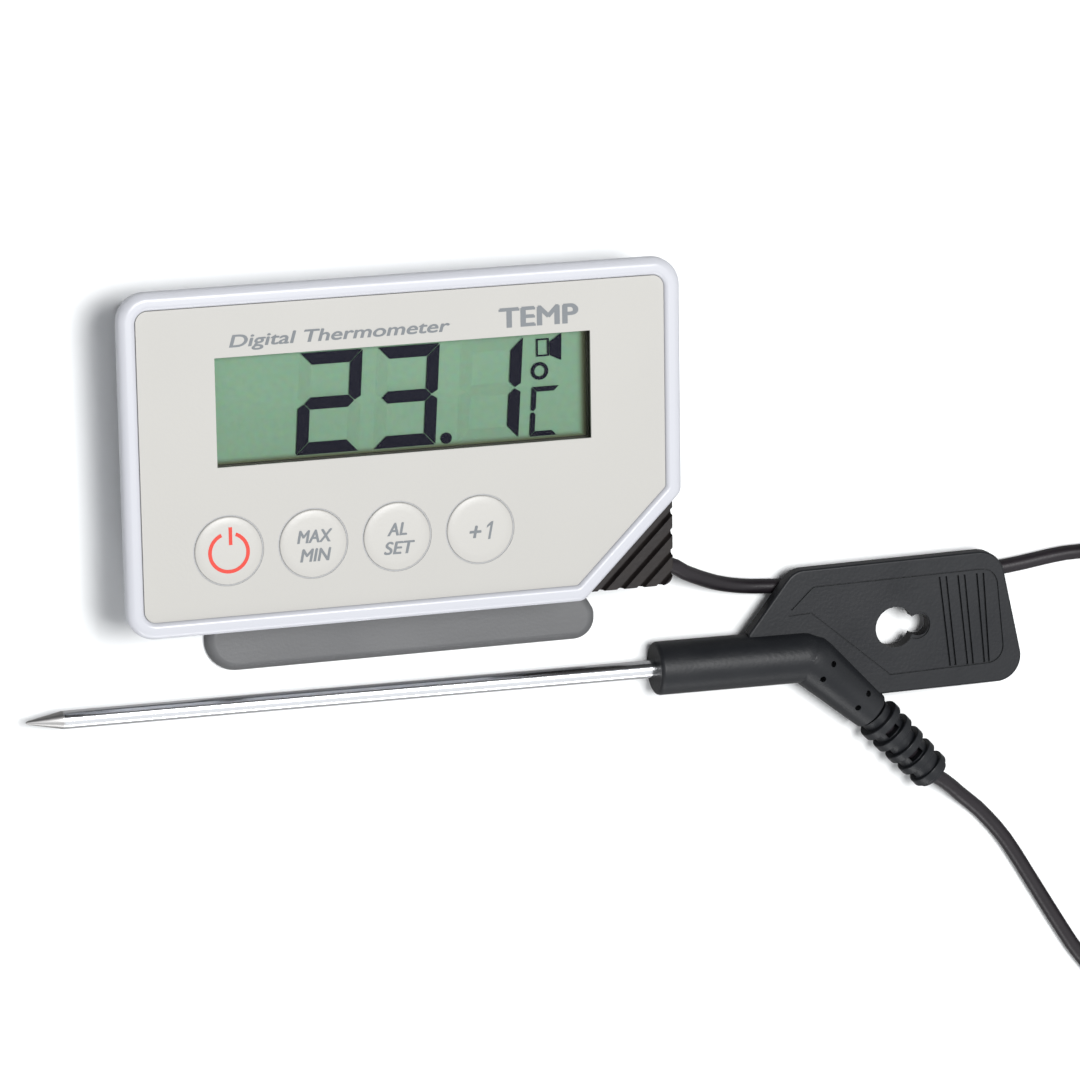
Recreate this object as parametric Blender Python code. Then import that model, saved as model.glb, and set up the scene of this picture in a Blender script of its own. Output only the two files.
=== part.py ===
"""A laboratory thermometer: a display unit on a fold-out stand, a penetration probe and the cord between them.

The unit lies on its back with its stand folded flat underneath. Lengths are in metres. The origin is on the
underside of the stand, below the middle of the display; +X runs along the display's lower edge, +Y to its top
edge and +Z up.
"""

import math

import bmesh
import bpy
from mathutils import Matrix, Vector

GAP = 0.0003  # clearance between pieces that touch or run in each other

# Display housing
CASE_WIDTH = 0.109
CASE_HEIGHT = 0.0655
CASE_DEPTH = 0.0172
CORNER_RADIUS = 0.0055
CHAMFER_LEG = 0.0198
BEZEL_THICKNESS = 0.0030
BEZEL_RIM = 0.0034
BEZEL_EDGE = 0.0016
FRONT_WALL = 0.0015
SHELL_INSET = 0.0035
SHELL_RADIUS = 0.0035
RECESS_CORNER = 0.0024
HOLLOW_CORNER = 0.0020
SEAL_INSET = 0.0005
SEAL_WIDTH = 0.0007
SEAL_GROOVE = 0.0010
WALL = 0.0018
BACK_WALL = 0.0022
BACK_EDGE = 0.0012
LABEL_THICKNESS = 0.0005
LABEL_SETBACK = 0.0005

# Display window, keys and electronics
WINDOW_WIDTH = 0.0729
WINDOW_HEIGHT = 0.0207
WINDOW_Y = CASE_HEIGHT / 2 - 0.02335
LENS_MARGIN = 0.0016
LENS_THICKNESS = 0.0014
FRAME_THICKNESS = 0.0005
CELL_MARGIN = 0.0007
CELL_THICKNESS = 0.0019
BOARD_THICKNESS = 0.0016
BOARD_Z = 0.0100
BOARD_LEFT = -CASE_WIDTH / 2 + 0.0174
BOARD_RIGHT = CASE_WIDTH / 2 - 0.0110
BOARD_TOP = CASE_HEIGHT / 2 - 0.01105
BOARD_BOTTOM = -CASE_HEIGHT / 2 + 0.01125
KEY_NAMES = ("key_power", "key_max_min", "key_alarm_set", "key_plus_one")
KEY_RADIUS = 0.0065
KEY_FIRST_X = -CASE_WIDTH / 2 + 0.0197
KEY_Y = -CASE_HEIGHT / 2 + 0.01595
KEY_PROUD = 0.0003
KEY_FLANGE = 0.0010
KEY_SPACING = 0.0013
KEY_PITCH = 2 * (KEY_RADIUS + KEY_FLANGE) + KEY_SPACING
KEY_FLANGE_THICKNESS = 0.0005
KEY_TRAVEL = 0.0004
KEY_STEM = 0.0020
DOME_RADIUS = 0.0023
DOME_HEIGHT = 0.0004
BOARD_SCREWS = ((BOARD_LEFT + 0.0105, KEY_Y + 0.0108), (BOARD_RIGHT - 0.0027, BOARD_TOP - 0.0097))
CASE_SCREWS = ((-CASE_WIDTH / 2 + 0.0130, -CASE_HEIGHT / 2 + 0.0074),
               (-CASE_WIDTH / 2 + 0.0205, CASE_HEIGHT / 2 - 0.00815),
               (CASE_WIDTH / 2 - 0.0077, CASE_HEIGHT / 2 - 0.00815),
               (CASE_WIDTH / 2 - 0.0080, KEY_Y + 0.0088))
CHIP_PLACE = (0.0020, WINDOW_Y - 0.0034)
BUZZER_PLACE = (BOARD_RIGHT - 0.0100, BOARD_BOTTOM + 0.0120)
BOSS_RADIUS = 0.0018
SCREW_RADIUS = 0.0009
SCREW_HEAD = 0.0017
SCREW_HEAD_HEIGHT = 0.0013
HEAD_WELL = 0.0024
CASE_SCREW_LENGTH = 0.0095
BOARD_SCREW_LENGTH = 0.0050

# Battery
BATTERY_RADIUS = 0.0051
BATTERY_LENGTH = 0.0445
BATTERY_X = -CASE_WIDTH / 2 + 0.0106
BATTERY_Y = CASE_HEIGHT / 2 - 0.02985
COVER_THICKNESS = 0.0018
COVER_LIP = 0.0007
POCKET_ROOF = 0.0004
POCKET_SIDE = 0.0011
POCKET_END = 0.0007

# Stand
STAND_THICKNESS = 0.0025
STAND_LEFT = -CASE_WIDTH / 2 + 0.0191
STAND_RIGHT = CASE_WIDTH / 2 - 0.0121
STAND_FRONT = 0.0120
STAND_LENGTH = 0.0570
STAND_EDGE = 0.0014
HINGE_RADIUS = 0.0082
HINGE_FROM_EDGE = 0.0091
EAR_XS = (STAND_LEFT + 0.0088, STAND_RIGHT - 0.0138)
EAR_WIDTH = 0.0046
EAR_RADIUS = 0.0034
PIN_RADIUS = 0.0011
EAR_WALL = 0.0012
TOWER_ROOF = 0.0008

# Corner block and cord
BLOCK_INSET = 0.0010
BLOCK_GROOVE = 0.0012
BLOCK_PITCH = 0.0028
CORD_RADIUS = 0.0015
CORD_LIE = CORD_RADIUS + 0.0001  # height of the middle line where the cord lies on the table
CORD_EXIT_Y = -CASE_HEIGHT / 2 + 0.00345
CORD_EXIT_Z = 0.0085
COIL_MEAN_RADIUS = 0.0165
COIL_WIDTH = 0.0096
COIL_HEIGHT = 0.0086

# Probe
SHEATH_RADIUS = 0.00175
SHEATH_BORE = 0.00125
SHEATH_LENGTH = 0.1420
SHEATH_POINT = 0.0072
HANDLE_RADIUS = 0.00525
HANDLE_END_RADIUS = 0.0040
HANDLE_END_BLUNT = 0.0008
HANDLE_STRAIGHT = 0.0314
BEND_X = CASE_WIDTH / 2 + 0.0302
BEND_Y = -CASE_HEIGHT / 2 - 0.0186
PROBE_Z = HANDLE_RADIUS
PROBE_YAW = math.radians(-0.46)
BEND_ANGLE = math.radians(-42.5)
GRIP_LENGTH = 0.0186
RELIEF_ANGLE = math.radians(-47.0)
RELIEF_LENGTH = 0.0188
RELIEF_COLLARS = 5
RELIEF_CORE = 0.0033
RELIEF_COLLAR = 0.0045
FLAG_BOTTOM = 0.0038
FLAG_TOP = 0.0068
HANG_RADIUS = 0.0041
HANG_SLOT_RADIUS = 0.0021
HANG_SLOT_REACH = 0.0051
CORE_RADIUS = 0.0035

# Heights and limits that follow from the sizes above
BACK_Z = STAND_THICKNESS + GAP
HANDLE_START_X = BEND_X - HANDLE_STRAIGHT
SHEATH_TIP_X = BEND_X - 0.1562
COIL_CENTRE = (BEND_X + 0.0843, BEND_Y - 0.04665)
FRONT_Z = BACK_Z + CASE_DEPTH
BEZEL_BACK_Z = FRONT_Z - BEZEL_THICKNESS
LABEL_TOP_Z = FRONT_Z - LABEL_SETBACK
RECESS_Z = LABEL_TOP_Z - LABEL_THICKNESS - GAP
INNER_FRONT_Z = RECESS_Z - FRONT_WALL
SHELL_TOP_Z = BEZEL_BACK_Z - GAP
FLOOR_Z = BACK_Z + BACK_WALL
BOARD_TOP_Z = BOARD_Z + BOARD_THICKNESS
LENS_TOP_Z = RECESS_Z
FRAME_TOP_Z = LENS_TOP_Z - LENS_THICKNESS - GAP
CELL_TOP_Z = FRAME_TOP_Z - FRAME_THICKNESS - GAP
HINGE_Y = -CASE_HEIGHT / 2 + HINGE_FROM_EDGE
HINGE_Z = BACK_Z + HINGE_RADIUS
BATTERY_Z = FLOOR_Z - GAP + BATTERY_RADIUS + GAP
POCKET_RADIUS = BATTERY_RADIUS + GAP
BATTERY_TOP_Y = BATTERY_Y + BATTERY_LENGTH / 2
BATTERY_BOTTOM_Y = BATTERY_Y - BATTERY_LENGTH / 2
CONTACT_THICKNESS = 0.0004
SPRING_LENGTH = 0.0026
POCKET_TOP_Y = BATTERY_TOP_Y + CONTACT_THICKNESS + 3 * GAP
POCKET_BOTTOM_Y = BATTERY_BOTTOM_Y - SPRING_LENGTH - 2 * GAP
COVER_BOTTOM_Y = POCKET_BOTTOM_Y - 0.0005
SHELL_TOP_Y = CASE_HEIGHT / 2 - SHELL_INSET
BLOCK_RIGHT = CASE_WIDTH / 2 - BLOCK_INSET
BLOCK_BOTTOM = -CASE_HEIGHT / 2 + BLOCK_INSET
CHAMFER_LINE = (CASE_WIDTH + CASE_HEIGHT) / 2 - CHAMFER_LEG
GRIP_DIRECTION = Vector((math.cos(BEND_ANGLE), math.sin(BEND_ANGLE), 0))
RELIEF_DIRECTION = Vector((math.cos(RELIEF_ANGLE), math.sin(RELIEF_ANGLE), 0))
BEND_POINT = Vector((BEND_X, BEND_Y, PROBE_Z))
GRIP_END = BEND_POINT + GRIP_DIRECTION * GRIP_LENGTH
RELIEF_START = GRIP_END + RELIEF_DIRECTION * 2 * GAP
RELIEF_END = RELIEF_START + RELIEF_DIRECTION * RELIEF_LENGTH

# Placements that lay a piece drawn along +Z along another axis
ALONG_X = Matrix(((0, 0, 1, 0), (1, 0, 0, 0), (0, 1, 0, 0), (0, 0, 0, 1)))
ALONG_Y = Matrix(((1, 0, 0, 0), (0, 0, 1, 0), (0, -1, 0, 0), (0, 0, 0, 1)))
ALONG_PROBE = Matrix.Translation(BEND_POINT) @ Matrix.Rotation(PROBE_YAW, 4, "Z") @ ALONG_X
ALONG_PROBE = ALONG_PROBE @ Matrix.Translation((0, 0, -BEND_X))


def clear_scene():
    for old in list(bpy.data.objects):
        bpy.data.objects.remove(old, do_unlink=True)


def make_material(name, colour, roughness, metallic=0.0, alpha=1.0):
    material = bpy.data.materials.new(name)
    material.use_nodes = True
    shader = material.node_tree.nodes["Principled BSDF"]
    shader.inputs["Base Color"].default_value = (*colour, 1.0)
    shader.inputs["Roughness"].default_value = roughness
    shader.inputs["Metallic"].default_value = metallic
    shader.inputs["Alpha"].default_value = alpha
    return material


def rounded_loop(corners, step=math.radians(22.5)):
    """The outline through (x, y, radius) corners, with an arc at each corner that has a radius."""
    loop = []
    for index, (x, y, radius) in enumerate(corners):
        point = Vector((x, y))
        before = (Vector(corners[index - 1][:2]) - point).normalized()
        after = (Vector(corners[(index + 1) % len(corners)][:2]) - point).normalized()
        turn = math.pi - before.angle(after)
        if radius < 1e-6 or turn < 1e-3:
            loop.append((x, y))
            continue
        run = radius * math.tan(turn / 2)
        centre = point + (before + after).normalized() * radius / math.cos(turn / 2)
        first = point + before * run - centre
        sense = 1 if before.cross(after) < 0 else -1
        pieces = max(1, math.ceil(turn / step))
        for piece in range(pieces + 1):
            arm = Matrix.Rotation(sense * turn * piece / pieces, 2) @ first
            loop.append(tuple(centre + arm))
    return loop


def add_object(name, mesh_data, material=None, smooth=False):
    mesh = bpy.data.meshes.new(name)
    bmesh.ops.remove_doubles(mesh_data, verts=mesh_data.verts, dist=1e-7)
    bmesh.ops.recalc_face_normals(mesh_data, faces=mesh_data.faces)
    mesh_data.to_mesh(mesh)
    mesh_data.free()
    if smooth:
        mesh.shade_smooth()
        mesh.set_sharp_from_angle(angle=math.radians(35))
    made = bpy.data.objects.new(name, mesh)
    bpy.context.scene.collection.objects.link(made)
    if material:
        mesh.materials.append(material)
    return made


def prism(name, loop, low, high, material=None, place=None, top_edge=0.0, bottom_edge=0.0):
    """A loop extruded from low to high, with its top or bottom rim rounded."""
    data = bmesh.new()
    base = data.faces.new([data.verts.new((x, y, low)) for x, y in loop])
    grown = bmesh.ops.extrude_face_region(data, geom=[base])["geom"]
    raised = [item for item in grown if isinstance(item, bmesh.types.BMVert)]
    bmesh.ops.translate(data, verts=raised, vec=(0, 0, high - low))
    bmesh.ops.recalc_face_normals(data, faces=data.faces)
    for level, size in ((high, top_edge), (low, bottom_edge)):
        if size:
            rim = [e for e in data.edges if all(abs(v.co.z - level) < 1e-7 for v in e.verts)]
            bmesh.ops.bevel(data, geom=rim, offset=size, segments=2, profile=0.5, affect="EDGES")
    if place:
        bmesh.ops.transform(data, matrix=place, verts=data.verts)
    return add_object(name, data, material, smooth=True)


def box(name, low, high, material=None):
    loop = [(low[0], low[1]), (high[0], low[1]), (high[0], high[1]), (low[0], high[1])]
    return prism(name, loop, low[2], high[2], material)


def turned(name, profile, material=None, place=None, steps=16):
    """A closed (radius, height) profile spun about Z. Points on the axis have radius 0."""
    data = bmesh.new()
    points = [data.verts.new((radius, 0, height)) for radius, height in profile]
    edges = [data.edges.new(pair) for pair in zip(points, points[1:] + points[:1])]
    on_axis = {point for point in points if point.co.x < 1e-9}
    edges = [edge for edge in edges if not set(edge.verts) <= on_axis]
    bmesh.ops.spin(
        data,
        geom=points + edges,
        cent=(0, 0, 0),
        axis=(0, 0, 1),
        angle=math.tau,
        steps=steps,
        use_merge=True,
    )
    bmesh.ops.delete(data, geom=[e for e in data.edges if not e.link_faces], context="EDGES")
    if place:
        bmesh.ops.transform(data, matrix=place, verts=data.verts)
    return add_object(name, data, material, smooth=True)


def rod(name, radius, low, high, x=0.0, y=0.0, material=None, steps=16, place=None):
    """A cylinder from low to high at (x, y), along Z unless it is placed otherwise."""
    profile = ((0, low), (radius, low), (radius, high), (0, high))
    move = Matrix.Translation((x, y, 0))
    return turned(name, profile, material, (place or Matrix()) @ move, steps)


def smooth_points(route, count):
    """Evenly spaced points on a smooth curve through the route's points."""
    points = [Vector(point) for point in route]
    points = [2 * points[0] - points[1], *points, 2 * points[-1] - points[-2]]
    fine = []
    for a, b, c, d in zip(points, points[1:], points[2:], points[3:]):
        for step in range(24):
            t = step / 24
            bend = (2 * a - 5 * b + 4 * c - d) * t * t + (3 * b - a - 3 * c + d) * t ** 3
            fine.append(b + 0.5 * ((c - a) * t + bend))
    fine.append(points[-2])
    lengths = [0.0]
    for before, after in zip(fine, fine[1:]):
        lengths.append(lengths[-1] + (after - before).length)
    chosen = []
    index = 0
    for step in range(count):
        target = lengths[-1] * step / (count - 1)
        while index < len(fine) - 2 and lengths[index + 1] < target:
            index += 1
        share = (target - lengths[index]) / (lengths[index + 1] - lengths[index])
        chosen.append(fine[index].lerp(fine[index + 1], min(share, 1.0)))
    return chosen


def tube(name, points, radius, material=None, resolution=2):
    """A round wire along the points, as a bevelled curve with filled ends."""
    curve = bpy.data.curves.new(name, "CURVE")
    curve.dimensions = "3D"
    curve.bevel_depth = radius
    curve.bevel_resolution = resolution
    curve.use_fill_caps = True
    spline = curve.splines.new("POLY")
    spline.points.add(len(points) - 1)
    for slot, point in zip(spline.points, points):
        slot.co = (*point, 1.0)
    made = bpy.data.objects.new(name, curve)
    bpy.context.scene.collection.objects.link(made)
    if material:
        curve.materials.append(material)
    return made


def tube_cutter(name, points, radius):
    """The same wire as a mesh, so that a Boolean can take it."""
    made = tube(name + "_line", points, radius)
    bpy.context.view_layer.update()
    mesh = bpy.data.meshes.new_from_object(made)
    bpy.data.objects.remove(made, do_unlink=True)
    data = bmesh.new()
    data.from_mesh(mesh)
    return add_object(name, data)


def combine(operation, target, helpers):
    for helper in helpers:
        helper.hide_render = True
        helper.display_type = "WIRE"
        step = target.modifiers.new(helper.name, "BOOLEAN")
        step.operation = operation
        step.solver = "MANIFOLD"
        step.object = helper


def cut(target, *helpers):
    combine("DIFFERENCE", target, helpers)


def join(target, *helpers):
    combine("UNION", target, helpers)


def keep_inside(target, *helpers):
    combine("INTERSECT", target, helpers)


def case_loop(inset, radius):
    """The display's outline, moved inwards by inset: a rounded rectangle with its lower right corner cut off."""
    right = CASE_WIDTH / 2 - inset
    top = CASE_HEIGHT / 2 - inset
    line = CHAMFER_LINE - inset * math.sqrt(2)
    blunt = radius * 0.45
    corners = [(-right, top, radius), (-right, -top, radius), (line - top, -top, blunt)]
    corners += [(right, right - line, blunt), (right, top, radius)]
    return rounded_loop(corners)


def hang_on(empty_name, place, pieces):
    """Parents the pieces to an empty that stands on their joint's axis, leaving them where they are."""
    pivot = bpy.data.objects.new(empty_name, None)
    pivot.location = place
    bpy.context.scene.collection.objects.link(pivot)
    for piece in pieces:
        piece.parent = pivot
        piece.matrix_parent_inverse = Matrix.Translation(-Vector(place))
    return pivot


def materials():
    recipes = {
        "white_abs": ((0.80, 0.80, 0.84), 0.25),
        "label_foil": ((0.72, 0.71, 0.68), 0.45),
        "key_foil": ((0.73, 0.72, 0.69), 0.4),
        "lcd_glass": ((0.33, 0.46, 0.36), 0.15),
        "dark_plastic": ((0.05, 0.05, 0.05), 0.5),
        "board": ((0.03, 0.22, 0.08), 0.5),
        "chip": ((0.02, 0.02, 0.02), 0.35),
        "seal": ((0.25, 0.25, 0.25), 0.8),
        "black_rubber": ((0.045, 0.042, 0.045), 0.6),
        "grey_abs": ((0.22, 0.23, 0.24), 0.45),
        "handle_rubber": ((0.035, 0.037, 0.042), 0.6),
        "cord_pvc": ((0.03, 0.027, 0.033), 0.45),
        "battery_wrap": ((0.55, 0.12, 0.05), 0.35),
    }
    made = {name: make_material(name, *values) for name, values in recipes.items()}
    made["steel"] = make_material("steel", (0.72, 0.73, 0.75), 0.2, 1.0)
    made["clear"] = make_material("clear", (0.9, 0.95, 0.95), 0.05, 0.0, 0.3)
    return made


def hinge_waste(name, right):
    """What is taken off the lower rear edge so that the housing can turn over the stand."""
    reach = 0.0010
    arc = []
    for step in range(9):
        angle = math.radians(180 + 90 * step / 8)
        arc.append((HINGE_Y + HINGE_RADIUS * math.cos(angle), HINGE_Z + HINGE_RADIUS * math.sin(angle)))
    low_y = -CASE_HEIGHT / 2 - reach
    corners = [(low_y, HINGE_Z)] + arc + [(HINGE_Y, BACK_Z - reach), (low_y, BACK_Z - reach)]
    return prism(name, corners, -CASE_WIDTH, right, place=ALONG_X)


def front_bezel(look):
    bezel = prism("front_case", case_loop(0, CORNER_RADIUS), BEZEL_BACK_Z, FRONT_Z, look["white_abs"],
                  top_edge=BEZEL_EDGE)
    inner = SHELL_INSET + WALL
    cut(bezel, prism("bezel_hollow", case_loop(inner, HOLLOW_CORNER), BEZEL_BACK_Z - WALL, INNER_FRONT_Z))
    cut(bezel, prism("label_recess", case_loop(BEZEL_RIM, RECESS_CORNER), RECESS_Z, FRONT_Z + WALL))
    seal_low = BEZEL_BACK_Z - WALL
    seal_high = BEZEL_BACK_Z + SEAL_GROOVE
    outer = SHELL_INSET + SEAL_INSET - GAP
    inside = SHELL_INSET + SEAL_INSET + SEAL_WIDTH + GAP
    groove = prism("seal_groove", case_loop(outer, SHELL_RADIUS - SEAL_INSET + GAP), seal_low, seal_high)
    cut(groove, prism("seal_groove_core", case_loop(inside, HOLLOW_CORNER), seal_low - WALL, seal_high + WALL))
    cut(bezel, groove)
    half = WINDOW_WIDTH / 2 + LENS_MARGIN + GAP
    high = WINDOW_HEIGHT / 2 + LENS_MARGIN + GAP
    cut(bezel, box("lens_opening", (-half, WINDOW_Y - high, INNER_FRONT_Z - WALL),
                   (half, WINDOW_Y + high, FRONT_Z + WALL)))
    for x, y in CASE_SCREWS:
        post = rod("case_post", BOSS_RADIUS, BOARD_Z - 0.0008, RECESS_Z - GAP, x, y)
        join(bezel, post)
        cut(bezel, rod("case_pilot", SCREW_RADIUS + GAP, BOARD_Z - WALL, INNER_FRONT_Z - WALL, x, y))
    for x, y in BOARD_SCREWS:
        post = rod("board_post", BOSS_RADIUS, BOARD_TOP_Z + GAP, RECESS_Z - GAP, x, y)
        join(bezel, post)
        cut(bezel, rod("board_pilot", SCREW_RADIUS + GAP, BOARD_Z, INNER_FRONT_Z - WALL, x, y))
    for index in range(len(KEY_NAMES)):
        x = KEY_FIRST_X + index * KEY_PITCH
        cut(bezel, rod("key_hole", KEY_RADIUS + GAP, INNER_FRONT_Z - WALL, FRONT_Z + WALL, x, KEY_Y, steps=24))
    return bezel


def case_seal(look):
    low = BEZEL_BACK_Z
    outer = SHELL_INSET + SEAL_INSET
    corner = SHELL_RADIUS - SEAL_INSET
    ring = prism("case_seal", case_loop(outer, corner), low, low + SEAL_WIDTH, look["seal"])
    cut(ring, prism("case_seal_core", case_loop(outer + SEAL_WIDTH, corner - SEAL_WIDTH), low - WALL, low + WALL))
    return ring


def label_panel(look):
    outline = case_loop(BEZEL_RIM + GAP, RECESS_CORNER - GAP)
    panel = prism("label_panel", outline, RECESS_Z + GAP, LABEL_TOP_Z, look["label_foil"])
    half = WINDOW_WIDTH / 2
    high = WINDOW_HEIGHT / 2
    cut(panel, box("window_opening", (-half, WINDOW_Y - high, RECESS_Z - WALL),
                   (half, WINDOW_Y + high, FRONT_Z + WALL)))
    for index in range(len(KEY_NAMES)):
        x = KEY_FIRST_X + index * KEY_PITCH
        cut(panel, rod("label_hole", KEY_RADIUS + GAP, RECESS_Z - WALL, FRONT_Z + WALL, x, KEY_Y, steps=24))
    return panel


def window_slab(name, margin, low, high, material):
    half = WINDOW_WIDTH / 2 + margin
    tall = WINDOW_HEIGHT / 2 + margin
    return box(name, (-half, WINDOW_Y - tall, low), (half, WINDOW_Y + tall, high), material)


def display_stack(look):
    lens = window_slab("lcd_window", LENS_MARGIN, LENS_TOP_Z - LENS_THICKNESS, LENS_TOP_Z, look["clear"])
    frame = window_slab("lcd_frame", LENS_MARGIN, FRAME_TOP_Z - FRAME_THICKNESS, FRAME_TOP_Z, look["dark_plastic"])
    cut(frame, window_slab("frame_opening", GAP, FRAME_TOP_Z - WALL, FRAME_TOP_Z + WALL, None))
    cell = window_slab("lcd_cell", CELL_MARGIN, CELL_TOP_Z - CELL_THICKNESS, CELL_TOP_Z, look["lcd_glass"])
    strip_y = WINDOW_Y - WINDOW_HEIGHT / 2
    strip = box("contact_strip", (-0.030, strip_y, BOARD_TOP_Z + GAP),
                (0.030, strip_y + 0.0020, CELL_TOP_Z - CELL_THICKNESS - GAP), look["seal"])
    return [lens, frame, cell, strip]


def keys(look):
    caps = []
    flange_top = INNER_FRONT_Z - GAP
    stem_low = BOARD_TOP_Z + GAP + DOME_HEIGHT + KEY_TRAVEL + GAP
    for index, name in enumerate(KEY_NAMES):
        x = KEY_FIRST_X + index * KEY_PITCH
        top = LABEL_TOP_Z + KEY_PROUD
        profile = [(0, stem_low), (KEY_STEM, stem_low), (KEY_STEM, flange_top - KEY_FLANGE_THICKNESS)]
        profile += [(KEY_RADIUS + KEY_FLANGE, flange_top - KEY_FLANGE_THICKNESS), (KEY_RADIUS + KEY_FLANGE, flange_top)]
        profile += [(KEY_RADIUS, flange_top), (KEY_RADIUS, top - 0.0004), (KEY_RADIUS * 0.96, top - 0.0002)]
        profile += [(KEY_RADIUS * 0.7, top), (0, top)]
        cap = turned(name, profile, look["key_foil"], Matrix.Translation((x, KEY_Y, 0)), 24)
        hang_on(name + "_axis", (x, KEY_Y, top), [cap])
        caps.append(cap)
    return caps


def circuit(look):
    right = BOARD_RIGHT
    low_y = BOARD_BOTTOM
    slope = CHAMFER_LINE - (SHELL_INSET + WALL + 0.0008) * math.sqrt(2)
    corners = [(BOARD_LEFT, BOARD_TOP), (BOARD_LEFT, low_y), (slope + low_y, low_y)]
    corners += [(right, right - slope), (right, BOARD_TOP)]
    board = prism("circuit_board", corners, BOARD_Z, BOARD_TOP_Z, look["board"])
    pocket_y = HINGE_Y + EAR_RADIUS + GAP + EAR_WALL + GAP
    half = EAR_WIDTH / 2 + GAP + EAR_WALL + GAP
    for x in EAR_XS:
        cut(board, box("ear_notch", (x - half, low_y - WALL, BOARD_Z - WALL), (x + half, pocket_y, BOARD_TOP_Z + WALL)))
    for x, y in BOARD_SCREWS:
        cut(board, rod("board_hole", SCREW_RADIUS + GAP, BOARD_Z - WALL, BOARD_TOP_Z + WALL, x, y))
    pieces = [board]
    profile = [(0, 0), (DOME_RADIUS, 0), (DOME_RADIUS * 0.7, DOME_HEIGHT * 0.75), (0, DOME_HEIGHT)]
    for index in range(len(KEY_NAMES)):
        place = Matrix.Translation((KEY_FIRST_X + index * KEY_PITCH, KEY_Y, BOARD_TOP_Z + GAP))
        pieces.append(turned(f"dome_switch_{index + 1}", profile, look["steel"], place))
    chip = [(0, -GAP), (0.0060, -GAP), (0.0056, -0.0011), (0.0036, -0.0018), (0, -0.0021)]
    pieces.append(turned("controller_chip", chip, look["chip"], Matrix.Translation((*CHIP_PLACE, BOARD_Z))))
    sounder = [(0.0, 0.0), (0.0055, 0.0), (0.0055, 0.0026), (0.0010, 0.0026), (0.0010, 0.0020), (0, 0.0020)]
    place = Matrix.Translation((*BUZZER_PLACE, BOARD_TOP_Z + GAP))
    pieces.append(turned("buzzer", sounder, look["chip"], place))
    for index, (x, y) in enumerate(BOARD_SCREWS):
        pieces.append(screw(f"board_screw_{index + 1}", x, y, BOARD_Z - GAP, BOARD_SCREW_LENGTH, look))
    return pieces


def screw(name, x, y, seat_z, length, look):
    """A pan-head screw that goes in upwards, with its head below seat_z and a cross-shaped drive."""
    head = SCREW_HEAD_HEIGHT
    profile = [(0, -head), (SCREW_HEAD * 0.8, -head), (SCREW_HEAD, -head * 0.6), (SCREW_HEAD, 0)]
    profile += [(SCREW_RADIUS, 0), (SCREW_RADIUS, length - SCREW_RADIUS), (0, length)]
    made = turned(name, profile, look["steel"], Matrix.Translation((x, y, seat_z)), 16)
    arm = 0.0011
    slot = 0.0002
    for wide, tall in ((arm, slot), (slot, arm)):
        low = (x - wide, y - tall, seat_z - head - WALL)
        cut(made, box("drive", low, (x + wide, y + tall, seat_z - head * 0.5)))
    return made


def rear_shell(look):
    shell = prism("rear_case", case_loop(SHELL_INSET, SHELL_RADIUS), BACK_Z, SHELL_TOP_Z, look["white_abs"],
                  bottom_edge=BACK_EDGE)
    form = prism("rear_form", case_loop(SHELL_INSET, SHELL_RADIUS), BACK_Z, SHELL_TOP_Z, bottom_edge=BACK_EDGE)
    inner = SHELL_INSET + WALL
    cut(shell, prism("rear_hollow", case_loop(inner, HOLLOW_CORNER), FLOOR_Z, FRONT_Z))
    cut(shell, tube_cutter("rear_cord_way", cable_end_points(), CORD_RADIUS + GAP))
    half = EAR_WIDTH / 2 + GAP
    wall = EAR_WALL
    for x in EAR_XS:
        tower = box("ear_tower", (x - half - wall, -CASE_HEIGHT / 2, BACK_Z),
                    (x + half + wall, HINGE_Y + EAR_RADIUS + GAP + wall, HINGE_Z + EAR_RADIUS + GAP + TOWER_ROOF))
        join(shell, tower)
    roof = BATTERY_Z + POCKET_RADIUS + POCKET_ROOF
    left = BATTERY_X - POCKET_RADIUS
    right = BATTERY_X + POCKET_RADIUS
    join(shell, box("battery_housing", (left - WALL, POCKET_BOTTOM_Y - POCKET_END, BACK_Z),
                    (right + POCKET_SIDE, POCKET_TOP_Y + POCKET_END, roof)))
    for x, y in CASE_SCREWS:
        join(shell, rod("rear_post", BOSS_RADIUS + 0.0004, BACK_Z, BOARD_Z - 0.0008 - GAP, x, y))
    keep_inside(shell, form)
    cut(shell, hinge_waste("rear_hinge_waste", CASE_WIDTH))
    for x in EAR_XS:
        cut(shell, box("ear_slot", (x - half, -CASE_HEIGHT, BACK_Z - WALL),
                       (x + half, HINGE_Y + EAR_RADIUS + GAP, HINGE_Z + EAR_RADIUS + GAP)))
        cut(shell, rod("pin_hole", PIN_RADIUS + GAP, x - half - wall - GAP, x + half + wall + GAP, HINGE_Y, HINGE_Z,
                       place=ALONG_X, steps=16))
    cut(shell, box("battery_pocket", (left, POCKET_BOTTOM_Y, BACK_Z - WALL), (right, POCKET_TOP_Y, roof - POCKET_ROOF)))
    lip = POCKET_RADIUS + COVER_LIP
    cut(shell, box("cover_way", (left, COVER_BOTTOM_Y, BACK_Z - WALL), (right, CASE_HEIGHT, FLOOR_Z - GAP)))
    cut(shell, box("cover_channel", (BATTERY_X - lip, COVER_BOTTOM_Y, BACK_Z + COVER_LIP),
                   (BATTERY_X + lip, CASE_HEIGHT, FLOOR_Z - GAP)))
    for x, y in CASE_SCREWS:
        cut(shell, rod("head_well", SCREW_HEAD + GAP, BACK_Z - WALL, BACK_Z + HEAD_WELL, x, y))
        cut(shell, rod("screw_way", SCREW_RADIUS + GAP, BACK_Z - WALL, BOARD_Z, x, y))
    return shell


def offset_from(place, route):
    """A route given as steps from a place, as points."""
    return [Vector(place) + Vector(step) for step in route]


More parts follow.
